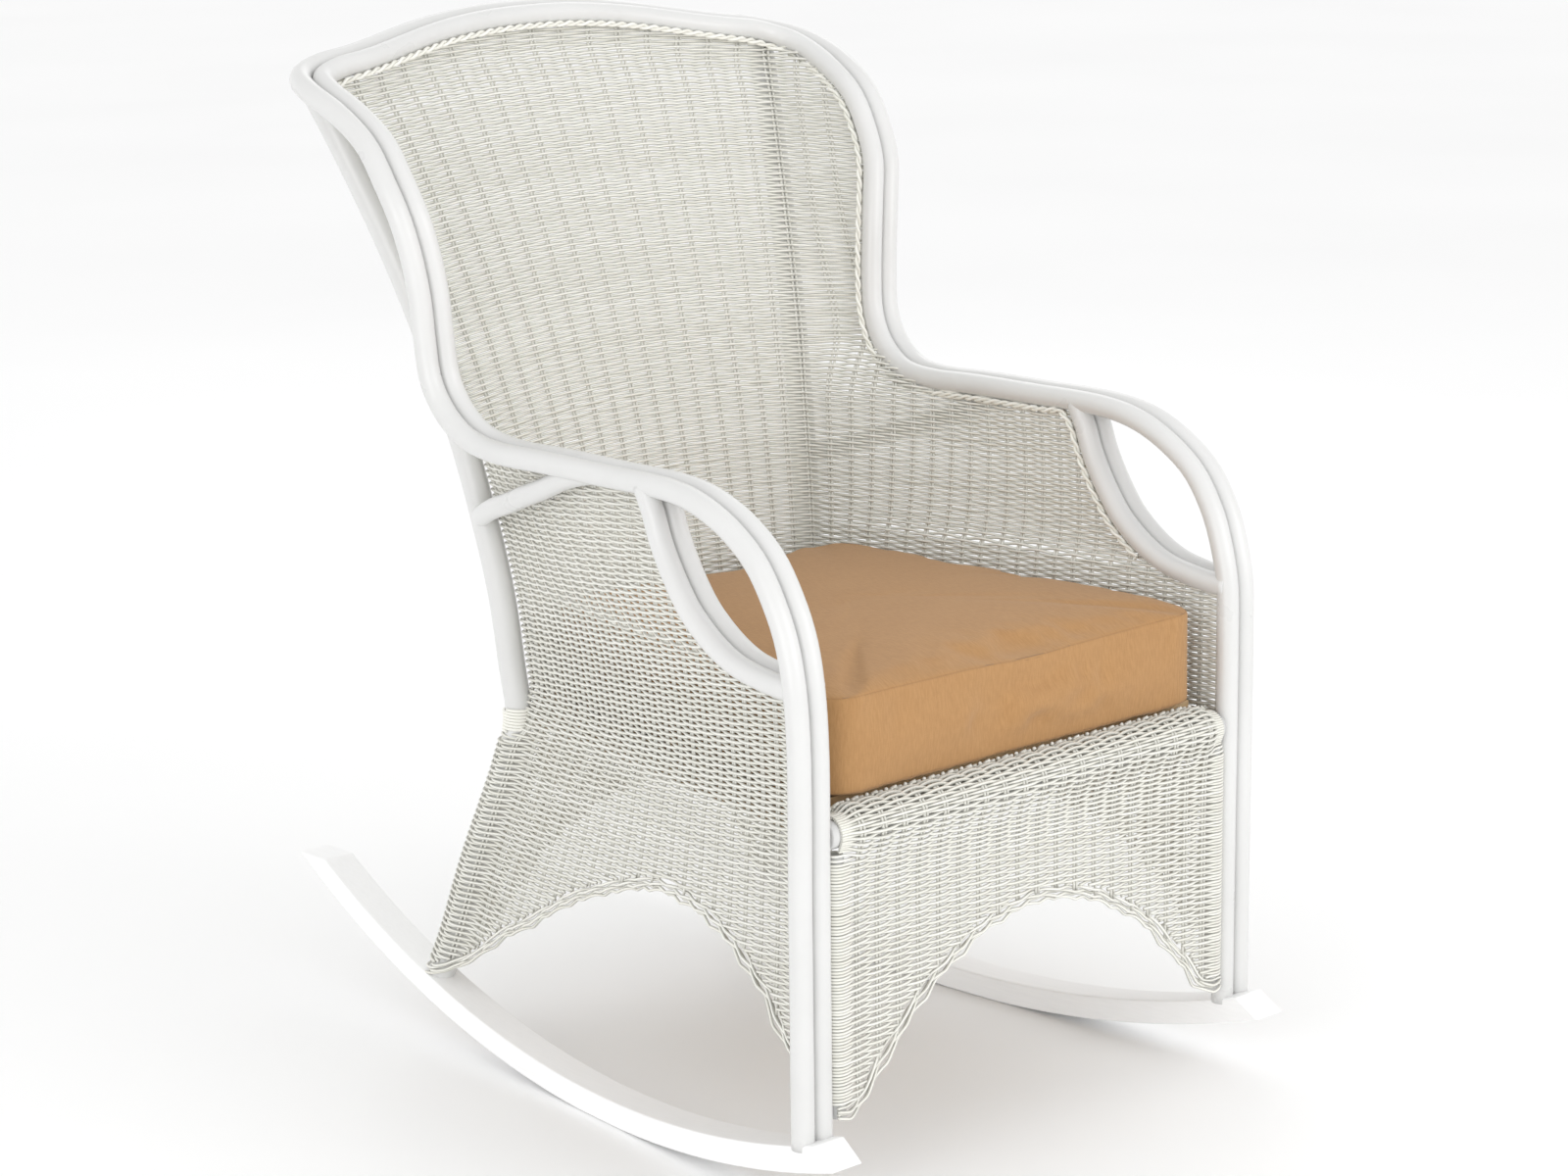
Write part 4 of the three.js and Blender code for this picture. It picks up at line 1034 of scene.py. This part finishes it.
def braid_route():
    """The left half of the braid, from the loop's foot over the arm and up the wing to the middle
    of the crest, with the direction in which the weave faces the seat."""
    foot = np.array([front_edge(z) for z in np.linspace(BRAID_FOOT, BRAID_ARM, 12)])
    frame_part = inner_axis[:MIDDLE + 1]
    arm = np.argmax((frame_part[:, 2] > BRAID_ARM) & (frame_part[:, 1] > BRAID_ARM_Y))
    edge = smooth(np.concatenate([foot, frame_part[arm::3]]), 620)
    along = unit(np.gradient(edge, axis=0))
    corner = crease(np.minimum(edge[:, 2], 990))
    across = (corner - edge) * (1, 1, 0)
    facing = unit(np.stack([-across[:, 1], across[:, 0], 0 * across[:, 0]], axis=1))
    length = run_lengths(edge)
    turn = int(np.argmax(edge[:, 1] > BRAID_TURN_Y))
    ear = int(np.argmax(edge[:, 1] > EAR_Y + 0.5))
    facing[turn:] = facing[turn]
    crest = smoothstep(length, length[turn], length[ear] + BRAID_TURN_END)[:, None]
    facing = facing * (1 - crest) + crest * CREST_FACING
    facing = unit(facing - (facing * along).sum(1, keepdims=True) * along)
    into = unit(averaged(np.cross(along, facing), 9))
    half = len(edge) // 2
    weave_middle = np.array([150, 190, 640])
    into = into * np.sign((into[half] * (weave_middle - edge[half])).sum())
    return averaged(edge + into * BRAID_INTO + facing * BRAID_OUT, 3), facing


def braids():
    """One braid up each side to near the ear, and one along the crest between them."""
    path, facing = braid_route()
    ear = int(np.argmax(path[:, 1] > BRAID_JOIN_Y))
    for side, name in ((1, "left"), (-1, "right")):
        flip = (side, 1, 1)
        twist(f"braid_{name}", path[:ear + 1] * flip, facing[:ear + 1] * flip,
              BRAID_TWIST * side, f"side_braid_{name}")
    top = np.concatenate([path[ear:], (path[ear:-1] * (-1, 1, 1))[::-1]])
    top_facing = np.concatenate([facing[ear:], (facing[ear:-1] * (-1, 1, 1))[::-1]])
    twist("braid_crest", top, top_facing, BRAID_TWIST, "crest_braid")


def knee_binding(side, name):
    """Turns of strand that tie the weave to the post at the knee."""
    turns = BINDING["turns"]
    angle = np.linspace(0, 2 * np.pi * turns, turns * 20 + 1)
    z = KNEE_Z - BINDING["below"] + angle / (2 * np.pi) * BINDING["pitch"]
    out = np.stack([np.cos(angle), np.sin(angle), 0 * angle], axis=1)
    path = at_height(post_axis, z) + (POST_R + STRAND_R) * out
    flip = (side, 1, 1)
    vertices, faces = tubes((path * flip)[None], (out * flip)[None], BINDING["strand"], 7)
    strand_mesh(f"knee_binding_{name}", vertices, faces, 0.2, 0, f"post_binding_{name}")


braids()
both_sides(knee_binding)


# -------------------------------------------------------------------- cushion

def cushion_outline(inset, count):
    """Plan outline of the cushion, anticlockwise from the middle of the front, in (x, y)."""
    c = CUSHION
    z = (c["bottom"] + c["top"]) / 2
    shares = np.linspace(0, 1, 40)
    row = side_surface(shares, np.full(40, z))
    front, rear = c["front"] + inset, c["rear"] - inset
    corner = c["corner"] - inset * 0.6

    def width(y):
        return np.interp(y, row[:, 1], row[:, 0]) - c["clearance"] - inset

    limit = LEG_X - 2 * PAIR - POLE_R + 1.5 - inset

    def rounded(end, inwards):
        """A quarter turn at an end of the cushion, from the end round to the side."""
        w = min(width(end + inwards * corner), limit)
        return [(w - corner * (1 - math.sin(a)), end + inwards * corner * (1 - math.cos(a)))
                for a in np.linspace(0, np.pi / 2, 10)]

    straight = np.linspace(front + corner + 25, rear - corner - 25, 14)
    left = ([(0, front)] + rounded(front, 1) + [(min(width(y), limit), y) for y in straight]
            + rounded(rear, -1)[::-1] + [(0, rear)])
    outline = np.array(left + [(-x, y) for x, y in left[-2:0:-1]])
    closed = np.vstack([outline, outline[:1]])
    length = run_lengths(closed)
    return looked_up(np.linspace(0, length[-1], count, endpoint=False), length, closed)


AROUND = 132             # points in each ring of the cover
TOP_RINGS = 17
BAND_RINGS = 7


def cushion_rings():
    """Rings of the sewn cover from the middle of the bottom, up the band, to the middle of the top."""
    c = CUSHION
    outline = cushion_outline(START_IN, AROUND)
    centre = np.array([0, (c["front"] + c["rear"]) / 2])
    shares = np.linspace(0.06, 1, TOP_RINGS) ** 0.9
    shares[-1] = 1
    rings = []
    for share in shares:
        plan = centre + (outline - centre) * share
        rings.append(np.column_stack([plan, np.full(AROUND, c["bottom"] + 1.5)]))
    for k in range(1, BAND_RINGS):
        z = c["bottom"] + 1.5 + (c["top"] - c["bottom"] - 5) * k / BAND_RINGS
        rings.append(np.column_stack([outline, np.full(AROUND, z)]))
    for share in shares[::-1]:
        plan = centre + (outline - centre) * share
        u = np.minimum(np.abs(plan[:, 0]) / 235, 1)
        v = (plan[:, 1] - c["front"]) / (c["rear"] - c["front"]) * 2 - 1
        lift = (c["crown"] - 5) * (1 - u ** 3) * (1 - np.abs(v) ** 3)
        rings.append(np.column_stack([plan, c["top"] - 3 + lift]))
    return np.array(rings)


BOTTOM_SEAM = TOP_RINGS - 1
TOP_SEAM = TOP_RINGS + BAND_RINGS - 1
CLOTH_FRAMES = 20
TOP_CAP, BAND_CAP, BOTTOM_CAP = 11.0, 5.5, 4.0     # how far filling may move each part
NEAR_SEAM = (-0.34, -0.19, -0.1, -0.05, 0.0, 0.05, 0.1, 0.19, 0.34)
THIRDS = (-0.66, -0.34)
STITCH = dict(pitch=4.4, length=3.9, radius=0.8, lift=0.5)


def ring_faces(rings, around):
    ring = np.arange(rings)[:-1, None] * around
    k = np.arange(around)[None, :]
    nxt = (k + 1) % around
    quads = np.stack([ring + k, ring + nxt, ring + around + nxt, ring + around + k],
                     axis=-1).reshape(-1, 4)
    last = (rings - 1) * around
    caps = np.stack([np.arange(around)[::-1], last + np.arange(around)])
    return [quads, caps]


def inflate(rings):
    """Fills the cover by cloth simulation and returns its rings."""
    faces = ring_faces(len(rings), AROUND)
    obj = make_mesh("cover_simulation", rings.reshape(-1, 3), faces, CANVAS, "cushion")
    settings = obj.modifiers.new("cloth", "CLOTH").settings
    settings.quality = 6
    settings.use_pressure = True
    settings.uniform_pressure_force = 3.5
    settings.tension_stiffness = 40
    settings.compression_stiffness = 40
    settings.shear_stiffness = 15
    settings.bending_stiffness = 2
    settings.effector_weights.gravity = 0
    scene = bpy.context.scene
    for number in range(1, CLOTH_FRAMES + 1):
        scene.frame_set(number)
    graph = bpy.context.evaluated_depsgraph_get()
    result = obj.evaluated_get(graph).data
    places = np.zeros(len(result.vertices) * 3, np.float32)
    result.vertices.foreach_get("co", places)
    swollen = places.reshape(rings.shape).astype(float) / MM
    scene.frame_set(1)
    bpy.data.objects.remove(obj)
    return swollen


def settle(rings, swollen):
    """Caps how far the filled cover moved, and keeps it flat on the slats and off the frame."""
    move = swollen - rings
    size = np.linalg.norm(move, axis=-1, keepdims=True)
    cap = np.full(len(rings), TOP_CAP)
    cap[:BOTTOM_SEAM] = BOTTOM_CAP
    cap[BOTTOM_SEAM:TOP_SEAM + 1] = BAND_CAP
    move *= np.minimum(1, cap[:, None, None] / np.maximum(size, 1e-6))
    placed = rings + move
    placed[..., 2] = np.maximum(placed[..., 2], CUSHION["bottom"])
    placed[..., 1] = np.clip(placed[..., 1], CUSHION["front"] - 4, CUSHION["rear"] + 3)
    return placed


def refine(rings):
    """More rings, close together at the two seams, and twice as many points round each."""
    steps = [0.0]
    count = len(rings)
    for i in range(1, count):
        if i not in (BOTTOM_SEAM, TOP_SEAM):
            steps += [i + part for part in THIRDS]
        steps.append(i)
    for seam in (BOTTOM_SEAM, TOP_SEAM):
        steps += [seam + part for part in NEAR_SEAM] + [seam - 0.66, seam + 0.66]
    steps = np.unique(np.round(steps, 3))
    low = np.clip(np.floor(steps).astype(int), 0, count - 2)
    part = (steps - low)[:, None, None]
    before = np.maximum(low - 1, 0)
    after = np.minimum(low + 2, count - 1)
    at_seam_low = np.isin(low, (BOTTOM_SEAM, TOP_SEAM))
    at_seam_high = np.isin(low + 1, (BOTTOM_SEAM, TOP_SEAM))
    before = np.where(at_seam_low, low, before)
    after = np.where(at_seam_high, low + 1, after)
    a, b, c, d = rings[before], rings[low], rings[low + 1], rings[after]
    m1, m2 = (c - a) / 2, (d - b) / 2
    fine = hermite(part, b, c, m1, m2)
    ahead = np.roll(fine, -1, axis=1)
    behind = np.roll(fine, 1, axis=1)
    further = np.roll(fine, -2, axis=1)
    middle = (9 * (fine + ahead) - behind - further) / 16
    doubled = np.stack([fine, middle], axis=2).reshape(len(steps), -1, 3)
    return doubled, steps


def sew(rings, steps):
    """Pulls the seams in and puckers the cloth beside them."""
    normals = grid_normals(np.concatenate([rings, rings[:, :1]], axis=1))[:, :-1]
    inside = np.array([0, -170, 430])
    normals *= np.where((normals * (rings - inside)).sum(-1, keepdims=True) < 0, -1, 1)
    around = np.arange(rings.shape[1])
    for seam in (BOTTOM_SEAM, TOP_SEAM):
        distance = np.abs(steps - seam)[:, None]
        groove = 2.4 * np.exp(-(distance / 0.09) ** 2) + 1.1 * np.exp(-(distance / 0.28) ** 2)
        pucker = np.sin(around * 0.83) + 0.7 * np.sin(around * 1.91 + 1) + 0.5 * np.sin(around * 0.37)
        ripple = 0.3 * pucker[None, :] * np.exp(-((distance - 0.45) / 0.4) ** 2)
        rings = rings - normals * (groove + ripple)[..., None]
    return rings, normals


def cushion():
    rings = cushion_rings()
    swollen = inflate(rings)
    fine, steps = refine(settle(rings, swollen))
    sewn, normals = sew(fine, steps)
    faces = ring_faces(len(sewn), sewn.shape[1])
    seams = np.exp(-(np.abs(steps[:, None] - (BOTTOM_SEAM, TOP_SEAM)).min(axis=1) / 0.085) ** 2)
    cover = make_mesh("cushion_cover_sewn", sewn.reshape(-1, 3), faces, CANVAS, "cushion",
                      attributes={"seam": np.repeat(0.85 * seams, sewn.shape[1])})
    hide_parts("cushion_cover", "cushion_foam")
    stitches(sewn, normals, steps)
    zip_piece(sewn, steps)


def stitches(rings, normals, steps):
    """Dark stitches in the groove of each seam."""
    centres = []
    outward = []
    for seam in (BOTTOM_SEAM, TOP_SEAM):
        row = int(np.argmin(np.abs(steps - seam)))
        line = rings[row] + normals[row] * STITCH["lift"]
        closed = np.vstack([line, line[:1]])
        length = run_lengths(closed)
        facing = np.vstack([normals[row], normals[row][:1]])
        for start in np.arange(0, length[-1] - 4, STITCH["pitch"]):
            at = start + np.linspace(0, STITCH["length"], 4)
            centres.append(looked_up(at, length, closed))
            outward.append(looked_up(at, length, facing))
    vertices, faces = tubes(np.array(centres), np.array(outward), STITCH["radius"], 5)
    obj = make_mesh("cushion_stitches", vertices, faces, THREAD, "cushion")


def zip_piece(rings, steps):
    """A zip across the rear of the band: a tape with two rows of teeth."""
    z = (CUSHION["bottom"] + CUSHION["top"]) / 2
    row = int(np.argmin(np.abs(rings[:, 0, 2] - z) + 1000 * (steps < BOTTOM_SEAM)))
    rear = rings[row][:, 1].max()
    bm = bmesh.new()
    tape = ((0, rear + 0.2, z), (300, 1.0, 13))
    teeth = [((k * 2.0, rear + 1.2, z + (0.7 if k % 2 else -0.7)), (1.2, 1.4, 2.6))
             for k in range(-72, 73)]
    slider = ((138, rear + 1.9, z), (7, 2.0, 6))
    pull = ((149, rear + 1.6, z), (14, 1.0, 3.4))
    for place, size in [tape, *teeth, slider, pull]:
        made = bmesh.ops.create_cube(bm, size=1)
        for v in made["verts"]:
            v.co = Vector([(p + q * s) * MM for p, q, s in zip(place, v.co, size)])
    bmesh.ops.bevel(bm, geom=bm.edges[:], offset=0.25 * MM, segments=1, affect="EDGES")
    mesh = bpy.data.meshes.new("cushion_zip_made")
    bm.to_mesh(mesh)
    bm.free()
    mesh.materials.append(THREAD)
    obj = add_object("cushion_zip_made", mesh)
    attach(obj, "cushion")
    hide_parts("cushion_zip")


cushion()


# ------------------------------------------------- parts kept from the frame

def carried_over():
    """The hidden timber and the screws keep their CAD shapes."""
    for name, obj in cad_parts.items():
        if obj.hide_render:
            continue
        material, slot = (STEEL, "steel") if "screw" in name else (TIMBER, "timber")
        obj.data.materials.clear()
        obj.data.materials.append(material)
        if "slat" in name:
            bevel = obj.modifiers.new("edges", "BEVEL")
            bevel.width = 0.0012
            bevel.segments = 2


carried_over()


# -------------------------------------------------------- camera, light, floor

CAMERA = dict(place=(-2.5294, -2.8560, 1.3798), target=(0, -0.066, 0.4869), lens=87.87, roll=0.70)
LIGHT_TARGET = (0, 0, 0.5)
LIGHTS = (               # name, place, width in metres, watts
    ("key", (0.6, -3.6, 1.7), 2.4, 30),
    ("fill", (-3.6, -1.6, 0.9), 2.2, 26),
    ("rim", (2.6, 2.4, 2.6), 2.2, 8),
)
HORIZON, ZENITH = 1.15, 0.95             # brightness of the white surroundings
FLOOR = 14.0             # half its width, in metres


def camera():
    """The camera fitted to the photo's perspective; it is rolled a little."""
    place = Vector(CAMERA["place"])
    data = bpy.data.cameras.new("camera")
    data.lens = CAMERA["lens"]
    data.sensor_width = 36
    data.clip_start = 0.1
    data.clip_end = 60
    obj = add_object("camera", data)
    obj.location = place
    forward = (Vector(CAMERA["target"]) - place).normalized()
    right = forward.cross(Vector((0, 0, 1))).normalized()
    down = forward.cross(right)
    roll = math.radians(CAMERA["roll"])
    turned = math.cos(roll) * right + math.sin(roll) * down
    up = turned.cross(forward)
    obj.rotation_mode = "QUATERNION"
    axes = np.array([turned, up, -forward]).T
    obj.rotation_quaternion = Matrix(axes.tolist()).to_quaternion()
    bpy.context.scene.camera = obj


def area_light(name, place, size, power):
    data = bpy.data.lights.new(name, "AREA")
    data.shape = "DISK"
    data.size = size
    data.energy = power
    obj = add_object(name, data)
    obj.location = place
    obj.rotation_mode = "QUATERNION"
    obj.rotation_quaternion = (Vector(LIGHT_TARGET) - Vector(place)).to_track_quat("-Z", "Y")


def surroundings():
    """White all round, a little brighter at the horizon than above."""
    world = bpy.data.worlds.new("studio")
    bpy.context.scene.world = world
    world.use_nodes = True
    graph = Graph(world.node_tree)
    background = graph.nodes["Background"]
    background.inputs["Color"].default_value = (1, 1, 1, 1)
    place = graph.nodes.new("ShaderNodeTexCoord")
    height = graph.nodes.new("ShaderNodeSeparateXYZ")
    graph.link(place.outputs["Generated"], height.inputs[0])
    sky = graph.between(height.outputs[2], HORIZON, ZENITH, 0.05, 0.9)
    graph.link(sky, background.inputs["Strength"])


def floor():
    """A sheet of white paper under the chair."""
    mesh = bpy.data.meshes.new("floor")
    corners = [(-FLOOR, -FLOOR, 0), (FLOOR, -FLOOR, 0), (FLOOR, FLOOR, 0), (-FLOOR, FLOOR, 0)]
    mesh.from_pydata(corners, [], [(0, 1, 2, 3)])
    material, graph, inputs = shader("floor_paper", roughness=0.8)
    tone = graph.between(graph.noise(0.8, 2), 0.0, 1.0)
    graph.link(graph.blend(tone, (0.93, 0.93, 0.93), (0.95, 0.95, 0.95)), inputs["Base Color"])
    mesh.materials.append(material)
    obj = add_object("floor", mesh)
    obj.location.z = -0.0005


camera()
for light in LIGHTS:
    area_light(*light)
surroundings()
floor()
bpy.context.scene.view_settings.view_transform = "Standard"
bpy.context.scene.view_settings.look = "None"
